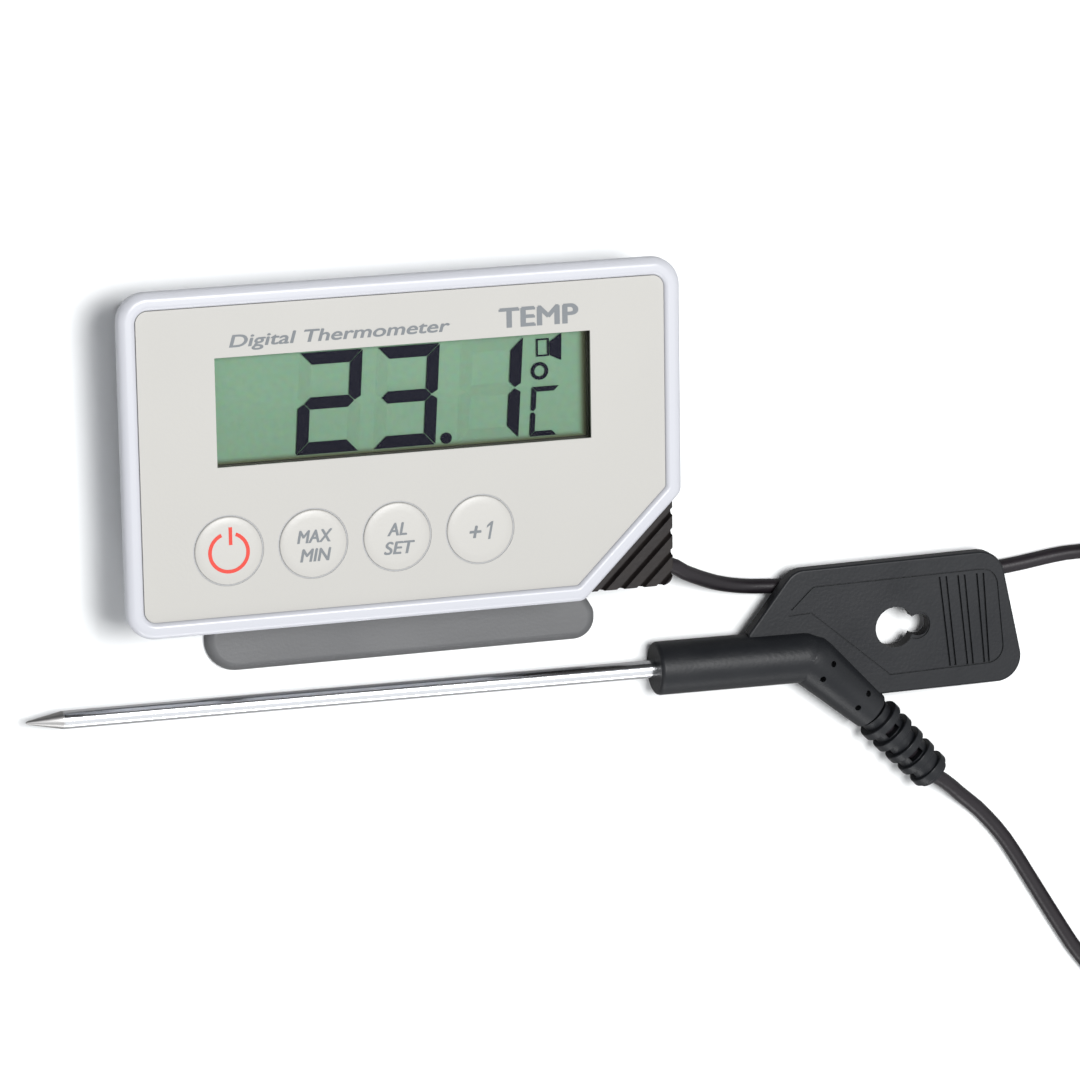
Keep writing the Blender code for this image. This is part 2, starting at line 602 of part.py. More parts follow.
def cable_end_points():
    """The middle line of the cord's end inside the corner block, from its outer face to the housing's inside."""
    route = [(-0.0015, 0, 0), (-0.0035, 0.0003, -0.0001), (-0.0071, 0.0025, -0.0005)]
    route += [(-0.0105, 0.0057, -0.0011), (-0.0140, 0.0092, -0.0015), (-0.0160, 0.0112, -0.0015)]
    start = Vector((BLOCK_RIGHT - GAP, CORD_EXIT_Y, CORD_EXIT_Z))
    return [start] + smooth_points(offset_from((BLOCK_RIGHT, CORD_EXIT_Y, CORD_EXIT_Z), route), 12)


def battery_parts(look):
    cell_profile = [(0, 0), (BATTERY_RADIUS * 0.8, 0), (BATTERY_RADIUS, 0.0006)]
    cell_profile += [(BATTERY_RADIUS, BATTERY_LENGTH - 0.0016), (BATTERY_RADIUS * 0.86, BATTERY_LENGTH - 0.0010)]
    cell_profile += [(0.0019, BATTERY_LENGTH - 0.0010), (0.0019, BATTERY_LENGTH), (0, BATTERY_LENGTH)]
    place = Matrix.Translation((BATTERY_X, BATTERY_BOTTOM_Y, BATTERY_Z)) @ ALONG_Y
    cell = turned("battery_cell", cell_profile, look["battery_wrap"], place, 20)
    half = BATTERY_RADIUS - 0.0006
    contact = box("battery_contact", (BATTERY_X - half, BATTERY_TOP_Y + GAP, BATTERY_Z - half),
                  (BATTERY_X + half, BATTERY_TOP_Y + GAP + CONTACT_THICKNESS, BATTERY_Z + half), look["steel"])
    points = []
    turns = 4
    sides = 10
    wire = 0.00022
    start = BATTERY_BOTTOM_Y - GAP - wire
    run = SPRING_LENGTH - 2 * wire
    for step in range(turns * sides + 1):
        angle = math.tau * step / sides
        share = step / (turns * sides)
        radius = 0.0022 + 0.0016 * share
        points.append((BATTERY_X + radius * math.cos(angle), start - run * share, BATTERY_Z + radius * math.sin(angle)))
    spring = tube("battery_spring", points, wire, look["steel"], resolution=1)
    return [cell, contact, spring]


def battery_cover(look):
    """A slide-on lid. Its outer leaf fills the opening, and its wider inner leaf runs behind the lips."""
    half = POCKET_RADIUS - GAP
    low_y = COVER_BOTTOM_Y + GAP
    high_y = SHELL_TOP_Y + WALL
    lid = box("battery_cover", (BATTERY_X - half, low_y, BACK_Z), (BATTERY_X + half, high_y, BACK_Z + COVER_THICKNESS),
              look["white_abs"])
    tongue = half + COVER_LIP
    join(lid, box("cover_tongue", (BATTERY_X - tongue, low_y, BACK_Z + COVER_LIP + GAP),
                  (BATTERY_X + tongue, high_y, BACK_Z + COVER_THICKNESS)))
    keep_inside(lid, prism("cover_form", case_loop(SHELL_INSET, SHELL_RADIUS), BACK_Z, SHELL_TOP_Z,
                           bottom_edge=BACK_EDGE))
    for index in range(5):
        y = SHELL_TOP_Y - 0.0050 - index * 0.0014
        cut(lid, box("cover_grip", (BATTERY_X - 0.0030, y, BACK_Z - WALL), (BATTERY_X + 0.0030, y + 0.0006, BACK_Z + 0.0003)))
    hang_on("battery_cover_slide", (BATTERY_X, SHELL_TOP_Y, BACK_Z), [lid])
    return lid


def corner_block(look):
    line = CHAMFER_LINE - (SHELL_INSET - GAP) * math.sqrt(2)
    low = BACK_Z + 0.0005
    high = BEZEL_BACK_Z - GAP
    shell_right = CASE_WIDTH / 2 - SHELL_INSET + GAP
    shell_low = -CASE_HEIGHT / 2 + SHELL_INSET - GAP
    top_y = shell_right - CHAMFER_LINE + SHELL_INSET + 0.0040
    left_x = CHAMFER_LINE + shell_low - SHELL_INSET - 0.0040
    corners = [(line + shell_low, shell_low, 0.0), (left_x, shell_low, 0.0), (left_x, BLOCK_BOTTOM, 0.0010)]
    corners += [(BLOCK_RIGHT, BLOCK_BOTTOM, 0.0020), (BLOCK_RIGHT, top_y, 0.0010), (shell_right, top_y, 0.0)]
    corners += [(shell_right, shell_right - line, 0.0)]
    block = prism("corner_block", rounded_loop(corners), low, high, look["black_rubber"])
    corner = (BLOCK_RIGHT - BLOCK_BOTTOM) / math.sqrt(2)
    count = 4
    for index in range(count):
        far = corner - 0.0022 - index * BLOCK_PITCH
        data = bmesh.new()
        bmesh.ops.create_cube(data, size=1.0)
        bmesh.ops.scale(data, vec=(BLOCK_GROOVE, 0.080, 0.0020), verts=data.verts)
        turn = Matrix.Rotation(math.radians(-45), 4, "Z")
        place = turn @ Matrix.Translation((far, 0, high))
        bmesh.ops.transform(data, matrix=place, verts=data.verts)
        cut(block, add_object("block_groove", data))
    ear_right = STAND_RIGHT + 0.0008
    cut(block, hinge_waste("block_hinge_waste", ear_right))
    slot_right = EAR_XS[1] + EAR_WIDTH / 2 + GAP
    cut(block, box("block_ear_way", (0, -CASE_HEIGHT, BACK_Z - WALL), (slot_right, HINGE_Y + EAR_RADIUS + GAP, FRONT_Z)))
    points = cable_end_points()
    outside = Vector((BLOCK_RIGHT + WALL, CORD_EXIT_Y, CORD_EXIT_Z))
    cut(block, tube_cutter("block_cord_way", [outside] + points[1:], CORD_RADIUS + GAP))
    return block


def cable_wires(look):
    """The cord's end in the block, and its two cores on their way to the board."""
    pieces = [tube("display_cable_end", cable_end_points(), CORD_RADIUS, look["cord_pvc"])]
    for index, side in enumerate((-1, 1)):
        route = [(-0.0164, 0.0116 + side * 0.0006, -0.0015 + side * 0.0004), (-0.0180, 0.0133 + side * 0.0012, -0.0011)]
        route += [(-0.0190 + side * 0.0012, 0.0153, 0.0003)]
        route += [(-0.0192 + side * 0.0012, 0.0163, BOARD_Z - 2 * GAP - CORD_EXIT_Z)]
        route = offset_from((BLOCK_RIGHT, CORD_EXIT_Y, CORD_EXIT_Z), route)
        pieces.append(tube(f"board_wire_{index + 1}", smooth_points(route, 8), 0.0004, look["seal"], 1))
    return pieces


def stand(look):
    front = -CASE_HEIGHT / 2 - STAND_FRONT
    back = front + STAND_LENGTH
    waist = 0.0036
    corners = [(STAND_LEFT, front, 0.0062), (STAND_RIGHT, front, 0.0042), (STAND_RIGHT, front + 0.0056, 0.0030)]
    corners += [(STAND_RIGHT - waist, front + 0.0115, 0.0030), (STAND_RIGHT - waist, back, 0.0050)]
    corners += [(STAND_LEFT + waist, back, 0.0050), (STAND_LEFT + waist, front + 0.0125, 0.0030)]
    corners += [(STAND_LEFT, front + 0.0075, 0.0030)]
    plate = prism("stand_plate", rounded_loop(corners), 0.0, STAND_THICKNESS, look["grey_abs"], top_edge=STAND_EDGE)
    pins = []
    top = []
    for step in range(13):
        angle = math.pi * step / 12
        top.append((HINGE_Y + EAR_RADIUS * math.cos(angle), HINGE_Z + EAR_RADIUS * math.sin(angle)))
    loop = top + [(HINGE_Y - EAR_RADIUS, STAND_THICKNESS / 2), (HINGE_Y + EAR_RADIUS, STAND_THICKNESS / 2)]
    for x, side in zip(EAR_XS, ("left", "right")):
        join(plate, prism("ear", loop, x - EAR_WIDTH / 2, x + EAR_WIDTH / 2, place=ALONG_X))
        cut(plate, rod("ear_hole", PIN_RADIUS + GAP, x - EAR_WIDTH, x + EAR_WIDTH, HINGE_Y, HINGE_Z, place=ALONG_X,
                       steps=16))
        half = EAR_WIDTH / 2 + GAP + 0.0011
        pins.append(rod(f"stand_pin_{side}", PIN_RADIUS, x - half, x + half, HINGE_Y, HINGE_Z, look["steel"], 16,
                        ALONG_X))
    return [plate] + pins


def probe_lead_points(start_x, end_gap):
    """The middle line of the lead inside the grip and the strain relief."""
    route = [ALONG_PROBE @ Vector((0, 0, start_x)), ALONG_PROBE @ Vector((0, 0, BEND_X - 0.0060))]
    route += [BEND_POINT + Vector((0.0006, -0.0010, 0))]
    route += [BEND_POINT + GRIP_DIRECTION * 0.0070, GRIP_END, RELIEF_END - RELIEF_DIRECTION * end_gap]
    return route


def probe(look):
    tip = [(0, 0), (0.0004, 0.0005), (SHEATH_RADIUS, SHEATH_POINT), (SHEATH_RADIUS, SHEATH_LENGTH)]
    tip += [(SHEATH_BORE, SHEATH_LENGTH), (SHEATH_BORE, SHEATH_POINT), (0, SHEATH_POINT - 0.0010)]
    along = ALONG_PROBE @ Matrix.Translation((0, 0, SHEATH_TIP_X))
    sheath = turned("probe_sheath", tip, look["steel"], along)
    bead = turned("sensor_bead", [(0, 0.0068), (0.0008, 0.0074), (0.0009, 0.0090), (0.0006, 0.0100), (0, 0.0104)],
                  look["chip"], along, 12)
    pieces = [sheath, bead]
    for index, side in enumerate((-1, 1)):
        offset = side * 0.00055
        points = [along @ Vector((offset, 0, x)) for x in (0.0107, 0.060, 0.100, 0.1440)]
        pieces.append(tube(f"sensor_lead_{index + 1}", points, 0.0003, look["seal"], 1))
    core_start = HANDLE_START_X + 0.0044
    core_end = HANDLE_START_X + 0.0210
    core = [(SHEATH_RADIUS + GAP, core_start), (CORE_RADIUS, core_start)]
    core += [(CORE_RADIUS, core_end), (SHEATH_RADIUS + GAP, core_end)]
    pieces.append(turned("handle_core", core, look["dark_plastic"], ALONG_PROBE))
    pieces.append(probe_handle(look, core_start - GAP, core_end + GAP))
    pieces.append(strain_relief(look))
    lead = smooth_points(probe_lead_points(HANDLE_START_X + 0.0225, 4 * GAP), 22) + [RELIEF_END - RELIEF_DIRECTION * GAP]
    pieces.append(tube("probe_cable_end", lead, CORD_RADIUS, look["cord_pvc"]))
    return pieces


def probe_handle(look, core_start, core_end):
    blunt = HANDLE_END_BLUNT
    straight = [(0, HANDLE_START_X), (HANDLE_RADIUS - blunt, HANDLE_START_X), (HANDLE_RADIUS, HANDLE_START_X + blunt)]
    straight += [(HANDLE_RADIUS, BEND_X - 0.0015), (HANDLE_RADIUS * 0.5, BEND_X + 0.0025), (0, BEND_X + 0.0025)]
    handle = turned("probe_handle", straight, look["handle_rubber"], ALONG_PROBE, 24)
    grip_start = -0.0030
    grip = [(0, grip_start), (HANDLE_RADIUS * 0.6, grip_start), (HANDLE_RADIUS * 0.99, 0.0008)]
    grip += [(HANDLE_END_RADIUS, GRIP_LENGTH), (0, GRIP_LENGTH)]
    lie = Matrix.Translation(BEND_POINT) @ Matrix.Rotation(BEND_ANGLE, 4, "Z") @ ALONG_X
    join(handle, turned("grip", grip, None, lie, 24))
    ball = [(HANDLE_RADIUS * 0.95 * math.cos(math.radians(a)), HANDLE_RADIUS * 0.95 * math.sin(math.radians(a)))
            for a in (-60, -30, 0, 30, 60)]
    ball = [(0, -HANDLE_RADIUS * 0.95)] + ball + [(0, HANDLE_RADIUS * 0.95)]
    join(handle, turned("elbow", ball, None, Matrix.Translation(BEND_POINT)))
    corners = [(-0.0123, 0.00385, 0.0), (-0.0123, 0.00565, 0.0), (-0.0029, 0.01765, 0.0045), (0.0405, 0.01825, 0.0055)]
    corners += [(0.0463, -0.00865, 0.0050), (0.0151, -0.00895, 0.0), (0.0113, -0.00665, 0.0), (0.0003, 0.00135, 0.0)]
    corners = [(BEND_X + x, BEND_Y + y, radius) for x, y, radius in corners]
    flag = prism("flag", rounded_loop(corners), FLAG_BOTTOM, FLAG_TOP)
    join(handle, flag)
    hang_x = BEND_X + 0.0183
    hang_y = BEND_Y + 0.00445
    depth = FLAG_TOP - FLAG_BOTTOM
    cut(handle, rod("hang_hole", HANG_RADIUS, FLAG_BOTTOM - depth, FLAG_TOP + depth, hang_x, hang_y, steps=24))
    cut(handle, rod("hang_slot", HANG_SLOT_RADIUS, FLAG_BOTTOM - depth, FLAG_TOP + depth,
                    hang_x + HANG_SLOT_REACH, hang_y))
    way = smooth_points(probe_lead_points(core_end - 0.0008, -WALL), 22)
    cut(handle, tube_cutter("lead_bore", way, CORD_RADIUS + GAP))
    bore = [(0, HANDLE_START_X - WALL), (SHEATH_RADIUS + GAP, HANDLE_START_X - WALL)]
    bore += [(SHEATH_RADIUS + GAP, core_start), (CORE_RADIUS + GAP, core_start)]
    bore += [(CORE_RADIUS + GAP, core_end), (0, core_end)]
    cut(handle, turned("sheath_bore", bore, None, ALONG_PROBE))
    return handle


def strain_relief(look):
    pitch = RELIEF_LENGTH / (RELIEF_COLLARS + 0.1)
    collar = pitch * 0.52
    profile = [(CORD_RADIUS + GAP, 0.0), (RELIEF_CORE, 0.0)]
    for index in range(RELIEF_COLLARS):
        radius = RELIEF_COLLAR - 0.0005 * index / (RELIEF_COLLARS - 1)
        start = pitch * (index + 0.42)
        profile += [(RELIEF_CORE, start), (radius, start), (radius, start + collar), (RELIEF_CORE, start + collar)]
    profile += [(RELIEF_CORE, RELIEF_LENGTH), (CORD_RADIUS + GAP, RELIEF_LENGTH)]
    place = Matrix.Translation(RELIEF_START) @ Matrix.Rotation(RELIEF_ANGLE, 4, "Z") @ ALONG_X
    return turned("strain_relief", profile, look["handle_rubber"], place)


def cords(look):
    leave = [(0.0010, 0, 0), (0.0027, -0.0006, -0.0004), (0.0053, -0.0024, -0.0015)]
    leave += [(0.0090, -0.0043, -0.0035), (0.0140, -0.0064, -0.0055), (0.0200, -0.0078, CORD_LIE + 0.0002 - CORD_EXIT_Z)]
    lead_in = offset_from((BLOCK_RIGHT, CORD_EXIT_Y, CORD_EXIT_Z), leave)
    lying = [(-0.0033, 0.01355, CORD_LIE), (0.0083, 0.01255, CORD_LIE), (0.0213, 0.01205, CORD_LIE)]
    lying += [(0.0333, 0.01255, CORD_LIE), (0.0452, 0.01365, CORD_LIE), (0.0599, 0.01515, CORD_LIE)]
    lying += [(0.0753, 0.01285, CORD_LIE), (0.0913, 0.00335, CORD_LIE), (0.1023, -0.01265, CORD_LIE)]
    lead_in += offset_from((BEND_X, BEND_Y, 0), lying)
    reach = COIL_MEAN_RADIUS + COIL_WIDTH / 2 + CORD_RADIUS + GAP
    lead_in += [(COIL_CENTRE[0] + reach, COIL_CENTRE[1] + 0.0140, CORD_LIE), (COIL_CENTRE[0] + reach, COIL_CENTRE[1], CORD_LIE)]
    start = Vector((BLOCK_RIGHT + GAP, CORD_EXIT_Y, CORD_EXIT_Z))
    display_run = tube("cord_display_run", [start] + smooth_points(lead_in, 44), CORD_RADIUS, look["cord_pvc"])
    start = RELIEF_END + RELIEF_DIRECTION * GAP
    lying = [(0.0305, -0.02935, PROBE_Z - 0.00125), (0.0343, -0.03275, CORD_LIE + 0.0007), (0.0386, -0.03655, CORD_LIE)]
    lying += [(0.044, -0.04295, CORD_LIE), (0.0502, -0.05285, CORD_LIE), (0.0553, -0.06115, CORD_LIE)]
    lying += [(0.0606, -0.06915, CORD_LIE), (0.0678, -0.07665, CORD_LIE), (0.0773, -0.07965, CORD_LIE)]
    lying += [(0.0893, -0.07715, CORD_LIE), (0.0998, -0.06715, CORD_LIE)]
    lead_out = [start + RELIEF_DIRECTION * 0.0008] + offset_from((BEND_X, BEND_Y, 0), lying)
    display_end = Vector((COIL_CENTRE[0] + reach, COIL_CENTRE[1] - 0.0040, CORD_LIE))
    lead_out += [tuple(display_end + Vector((-0.0006, -0.0060, 0))), tuple(display_end)]
    probe_run = tube("cord_probe_run", [start] + smooth_points(lead_out, 34), CORD_RADIUS, look["cord_pvc"])
    low_r = COIL_MEAN_RADIUS - COIL_WIDTH / 2
    high_r = COIL_MEAN_RADIUS + COIL_WIDTH / 2
    soft = 0.0012
    ring = [(low_r + soft, 0), (high_r - soft, 0), (high_r, soft), (high_r, COIL_HEIGHT - soft)]
    ring += [(high_r - soft, COIL_HEIGHT), (low_r + soft, COIL_HEIGHT), (low_r, COIL_HEIGHT - soft), (low_r, soft)]
    place = Matrix.Translation((COIL_CENTRE[0], COIL_CENTRE[1], 0))
    coil = turned("cord_coil", ring, look["cord_pvc"], place, 24)
    return [display_run, probe_run, coil, coil_tie(look)]


def coil_tie(look):
    """A flat strap around the coil's section, on the side away from the cord's two ends."""
    low_r = COIL_MEAN_RADIUS - COIL_WIDTH / 2 - GAP
    high_r = COIL_MEAN_RADIUS + COIL_WIDTH / 2 + GAP
    strap = 0.0005
    half = 0.0018
    top = COIL_HEIGHT + GAP
    loop = [(-high_r - strap, 0.0), (-high_r, 0.0), (-high_r, top), (-low_r, top), (-low_r, 0.0), (-low_r + strap, 0.0)]
    loop += [(-low_r + strap, top + strap), (-high_r - strap, top + strap)]
    stand_up = Matrix(((1, 0, 0, 0), (0, 0, -1, 0), (0, 1, 0, 0), (0, 0, 0, 1)))
    place = Matrix.Translation((COIL_CENTRE[0], COIL_CENTRE[1], 0)) @ stand_up
    return prism("coil_tie", loop, -half, half, look["seal"], place)


def build():
    clear_scene()
    look = materials()
    stand(look)
    housing = [front_bezel(look), label_panel(look), case_seal(look), rear_shell(look), corner_block(look)]
    housing += display_stack(look) + circuit(look) + battery_parts(look) + cable_wires(look)
    for index, (x, y) in enumerate(CASE_SCREWS):
        housing.append(screw(f"case_screw_{index + 1}", x, y, BACK_Z + HEAD_WELL - GAP, CASE_SCREW_LENGTH, look))
    hang_on("housing_hinge", (0, HINGE_Y, HINGE_Z), housing)
    keys(look)
    battery_cover(look)
    hang_on("probe_lift", (BEND_X, BEND_Y, 0), probe(look))
    cords(look)


build()
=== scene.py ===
import math

import bmesh
import bpy
from mathutils import Matrix, Vector


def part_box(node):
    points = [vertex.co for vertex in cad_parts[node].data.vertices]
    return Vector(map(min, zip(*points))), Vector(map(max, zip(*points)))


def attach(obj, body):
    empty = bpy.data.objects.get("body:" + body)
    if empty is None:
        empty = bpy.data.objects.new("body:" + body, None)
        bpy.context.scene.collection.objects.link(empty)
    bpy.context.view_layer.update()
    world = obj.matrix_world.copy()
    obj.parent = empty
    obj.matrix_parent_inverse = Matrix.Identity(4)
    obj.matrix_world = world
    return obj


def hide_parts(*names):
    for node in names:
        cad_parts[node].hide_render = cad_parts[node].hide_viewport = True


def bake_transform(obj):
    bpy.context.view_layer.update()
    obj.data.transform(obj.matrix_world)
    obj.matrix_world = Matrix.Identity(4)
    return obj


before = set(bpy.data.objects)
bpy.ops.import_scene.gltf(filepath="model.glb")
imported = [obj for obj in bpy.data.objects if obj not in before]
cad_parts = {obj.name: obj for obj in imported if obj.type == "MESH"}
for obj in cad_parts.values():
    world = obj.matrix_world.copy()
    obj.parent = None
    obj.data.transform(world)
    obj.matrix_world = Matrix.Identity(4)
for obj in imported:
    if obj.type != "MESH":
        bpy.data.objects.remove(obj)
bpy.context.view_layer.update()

# Camera: a long lens that looks down at the unit from beyond its top left corner. It has no shift
# and no depth of field.
CAMERA_PLACE = Vector((-0.26494, 0.20718, 0.94950))
CAMERA_RIGHT = Vector((0.95321505, -0.01544046, 0.30189844))
CAMERA_UP = Vector((0.08287868, 0.97377554, -0.21187807))
camera_data = bpy.data.cameras.new("camera")
camera_data.sensor_width = 36
camera_data.lens = 175.97
camera_data.clip_end = 20
camera = bpy.data.objects.new("camera", camera_data)
camera_axes = Matrix((CAMERA_RIGHT, CAMERA_UP, CAMERA_RIGHT.cross(CAMERA_UP))).transposed()
camera.matrix_world = Matrix.Translation(CAMERA_PLACE) @ camera_axes.to_4x4()
bpy.context.scene.collection.objects.link(camera)
bpy.context.scene.camera = camera


# Cord: a round two-core cable, 3 mm thick, in a soft dark plastic sheath. One length runs from the
# corner block to the probe, and what isn't needed is wound into a coil and tied.
CORD_RADIUS = 0.0015
CORD_LIE = CORD_RADIUS + 0.0001
COIL_CENTRE = (0.1690, -0.0980)
COIL_LANES = ((0.0198, 0.0), (0.0165, 0.0), (0.0132, 0.0), (0.01485, 0.0028), (0.01815, 0.0028),
              (0.0165, 0.0056), (0.0198, 0.0056))
COIL_STEPS = 36
CORD_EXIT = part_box("corner_block")[1].x + 0.0003, -0.0293, 0.0085
GRIP_END = (0.0984133, -0.0639158, 0.00525)
RELIEF_ANGLE = math.radians(-47)
RELIEF_LENGTH = 0.0188
RELIEF_SETBACK = 0.0006


def smooth_points(route, spacing):
    """Evenly spaced points on a smooth curve through the route's points."""
    points = [Vector(point) for point in route]
    points = [2 * points[0] - points[1], *points, 2 * points[-1] - points[-2]]
    fine = []
    for a, b, c, d in zip(points, points[1:], points[2:], points[3:]):
        for step in range(24):
            t = step / 24
            bend = (2 * a - 5 * b + 4 * c - d) * t * t + (3 * b - a - 3 * c + d) * t ** 3
            fine.append(b + 0.5 * ((c - a) * t + bend))
    fine.append(points[-2])
    chosen = [fine[0]]
    gone = 0.0
    for before, after in zip(fine, fine[1:]):
        gone += (after - before).length
        if gone >= spacing:
            chosen.append(after)
            gone = 0.0
    if gone < spacing / 2 and len(chosen) > 1:
        chosen.pop()
    chosen.append(fine[-1])
    return chosen


def coil_points():
    """The turns from the outer lane at the bottom to the outer lane at the top, clockwise from above."""
    points = []
    total = len(COIL_LANES) * COIL_STEPS
    for step in range(total + 6):
        lane = min(step // COIL_STEPS, len(COIL_LANES) - 1)
        share = (step - lane * COIL_STEPS) / COIL_STEPS
        ahead = COIL_LANES[min(lane + 1, len(COIL_LANES) - 1)]
        here = COIL_LANES[lane]
        move = max(0.0, min(1.0, (share - 0.62) / 0.38))
        move = move * move * (3 - 2 * move)
        radius = here[0] + (ahead[0] - here[0]) * move
        height = CORD_LIE + here[1] + (ahead[1] - here[1]) * move
        angle = -math.tau * step / COIL_STEPS
        x = COIL_CENTRE[0] + radius * math.cos(angle)
        y = COIL_CENTRE[1] + radius * math.sin(angle)
        if step > 4:
            points.append(Vector((x, y, height)))
    return points


def tube_mesh(name, points, radius):
    """A round tube along the points, as one closed mesh."""
    curve = bpy.data.curves.new(name, "CURVE")
    curve.dimensions = "3D"
    curve.bevel_depth = radius
    curve.bevel_resolution = 4
    curve.use_fill_caps = True
    spline = curve.splines.new("POLY")
    spline.points.add(len(points) - 1)
    for slot, point in zip(spline.points, points):
        slot.co = (*point, 1.0)
    line = bpy.data.objects.new(name + "_line", curve)
    bpy.context.scene.collection.objects.link(line)
    bpy.context.view_layer.update()
    mesh = bpy.data.meshes.new_from_object(line)
    bpy.data.objects.remove(line, do_unlink=True)
    data = bmesh.new()
    data.from_mesh(mesh)
    bpy.data.meshes.remove(mesh)
    return data


def made_piece(name, data, material, body=None, replaces=(), sharp=35, weighted=True):
    """A bmesh as a finished piece: merged, turned outwards, smooth between its sharp edges."""
    bmesh.ops.remove_doubles(data, verts=data.verts, dist=2e-7)
    bmesh.ops.recalc_face_normals(data, faces=data.faces)
    mesh = bpy.data.meshes.new(name)
    data.to_mesh(mesh)
    data.free()
    mesh.shade_smooth()
    mesh.set_sharp_from_angle(angle=math.radians(sharp))
    mesh.materials.append(material)
    piece = bpy.data.objects.new(name, mesh)
    bpy.context.scene.collection.objects.link(piece)
    if weighted:
        normals = piece.modifiers.new("even_normals", "WEIGHTED_NORMAL")
        normals.keep_sharp = True
        normals.weight = 80
    if body:
        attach(piece, body)
    if replaces:
        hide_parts(*replaces)
    return piece


def new_group(name, inputs, outputs):
    """A shader node group with these (name, kind, value) inputs and (name, kind) outputs."""
    group = bpy.data.node_groups.new(name, "ShaderNodeTree")
    for label, kind, value in inputs:
        socket = group.interface.new_socket(label, in_out="INPUT", socket_type=kind)
        socket.default_value = value
    for label, kind in outputs:
        group.interface.new_socket(label, in_out="OUTPUT", socket_type=kind)
    start = group.nodes.new("NodeGroupInput")
    end = group.nodes.new("NodeGroupOutput")
    return group, start, end


def noise(nodes, link, vector, scale, detail=2.0):
    """A noise texture of one scale, read along the vector socket."""
    made = nodes.new("ShaderNodeTexNoise")
    made.inputs["Scale"].default_value = scale
    made.inputs["Detail"].default_value = detail
    link(vector, made.inputs["Vector"])
    return made


def remapped(nodes, link, source, smooth=False, **ranges):
    """The source value moved between ranges, which are given as From_Min, From_Max, To_Min and To_Max."""
    made = nodes.new("ShaderNodeMapRange")
    made.interpolation_type = "SMOOTHSTEP" if smooth else "LINEAR"
    for label, value in ranges.items():
        made.inputs[label.replace("_", " ")].default_value = value
    link(source, made.inputs["Value"])
    return made


def mixed(nodes, link, factor, first, second):
    """A colour between two, each of them a socket or a plain colour."""
    made = nodes.new("ShaderNodeMix")
    made.data_type = "RGBA"
    link(factor, made.inputs["Factor"])
    for label, colour in (("A", first), ("B", second)):
        if isinstance(colour, tuple):
            made.inputs[label].default_value = colour
        else:
            link(colour, made.inputs[label])
    return made.outputs["Result"]


def principled(name):
    """A new material with its nodes, its way to link them and its surface shader."""
    material = bpy.data.materials.new(name)
    material.use_nodes = True
    nodes = material.node_tree.nodes
    return material, nodes, material.node_tree.links.new, nodes["Principled BSDF"]


def moulded_surface_group():
    """A moulded surface: slow drift between two tones, uneven gloss and a fine grain."""
    inputs = (("Tone A", "NodeSocketColor", (0.5, 0.5, 0.5, 1)), ("Tone B", "NodeSocketColor", (0.4, 0.4, 0.4, 1)),
              ("Drift Scale", "NodeSocketFloat", 60.0), ("Gloss Low", "NodeSocketFloat", 0.3),
              ("Gloss High", "NodeSocketFloat", 0.4), ("Grain Scale", "NodeSocketFloat", 4000.0),
              ("Grain Depth", "NodeSocketFloat", 0.00002))
    outputs = (("Colour", "NodeSocketColor"), ("Roughness", "NodeSocketFloat"), ("Normal", "NodeSocketVector"))
    group, start, end = new_group("moulded_surface", inputs, outputs)
    nodes, link = group.nodes, group.links.new
    place = nodes.new("ShaderNodeTexCoord").outputs["Object"]
    slow = noise(nodes, link, place, 60.0, 3)
    link(start.outputs["Drift Scale"], slow.inputs["Scale"])
    spread = remapped(nodes, link, slow.outputs["Fac"], From_Min=0.3, From_Max=0.7)
    link(mixed(nodes, link, spread.outputs["Result"], start.outputs["Tone A"], start.outputs["Tone B"]),
         end.inputs["Colour"])
    gloss = remapped(nodes, link, slow.outputs["Fac"], From_Min=0.3, From_Max=0.7)
    link(start.outputs["Gloss Low"], gloss.inputs["To Min"])
    link(start.outputs["Gloss High"], gloss.inputs["To Max"])
    link(gloss.outputs["Result"], end.inputs["Roughness"])
    fine = noise(nodes, link, place, 4000.0)
    link(start.outputs["Grain Scale"], fine.inputs["Scale"])
    bump = nodes.new("ShaderNodeBump")
    link(fine.outputs["Fac"], bump.inputs["Height"])
    link(start.outputs["Grain Depth"], bump.inputs["Distance"])
    link(bump.outputs["Normal"], end.inputs["Normal"])
    return group


MOULDED_SURFACE = moulded_surface_group()


def moulded(name, tones, gloss, grain, drift=60.0, **fixed):
    """A material for a moulded or extruded piece. Tones, gloss and grain are pairs of values."""
    material, nodes, link, shader = principled(name)
    surface = nodes.new("ShaderNodeGroup")
    surface.node_tree = MOULDED_SURFACE
    values = {"Tone A": (*tones[0], 1), "Tone B": (*tones[1], 1), "Drift Scale": drift, "Gloss Low": gloss[0],
              "Gloss High": gloss[1], "Grain Scale": grain[0], "Grain Depth": grain[1]}
    for label, value in values.items():
        surface.inputs[label].default_value = value
    link(surface.outputs["Colour"], shader.inputs["Base Color"])
    link(surface.outputs["Roughness"], shader.inputs["Roughness"])
    link(surface.outputs["Normal"], shader.inputs["Normal"])
    for label, value in fixed.items():
        shader.inputs[label.replace("_", " ")].default_value = value
    return material


cord_sheath = moulded("cord_sheath", ((0.009, 0.007, 0.009), (0.014, 0.011, 0.014)), (0.34, 0.46), (2600, 0.00003),
                      Specular_IOR_Level=0.32)

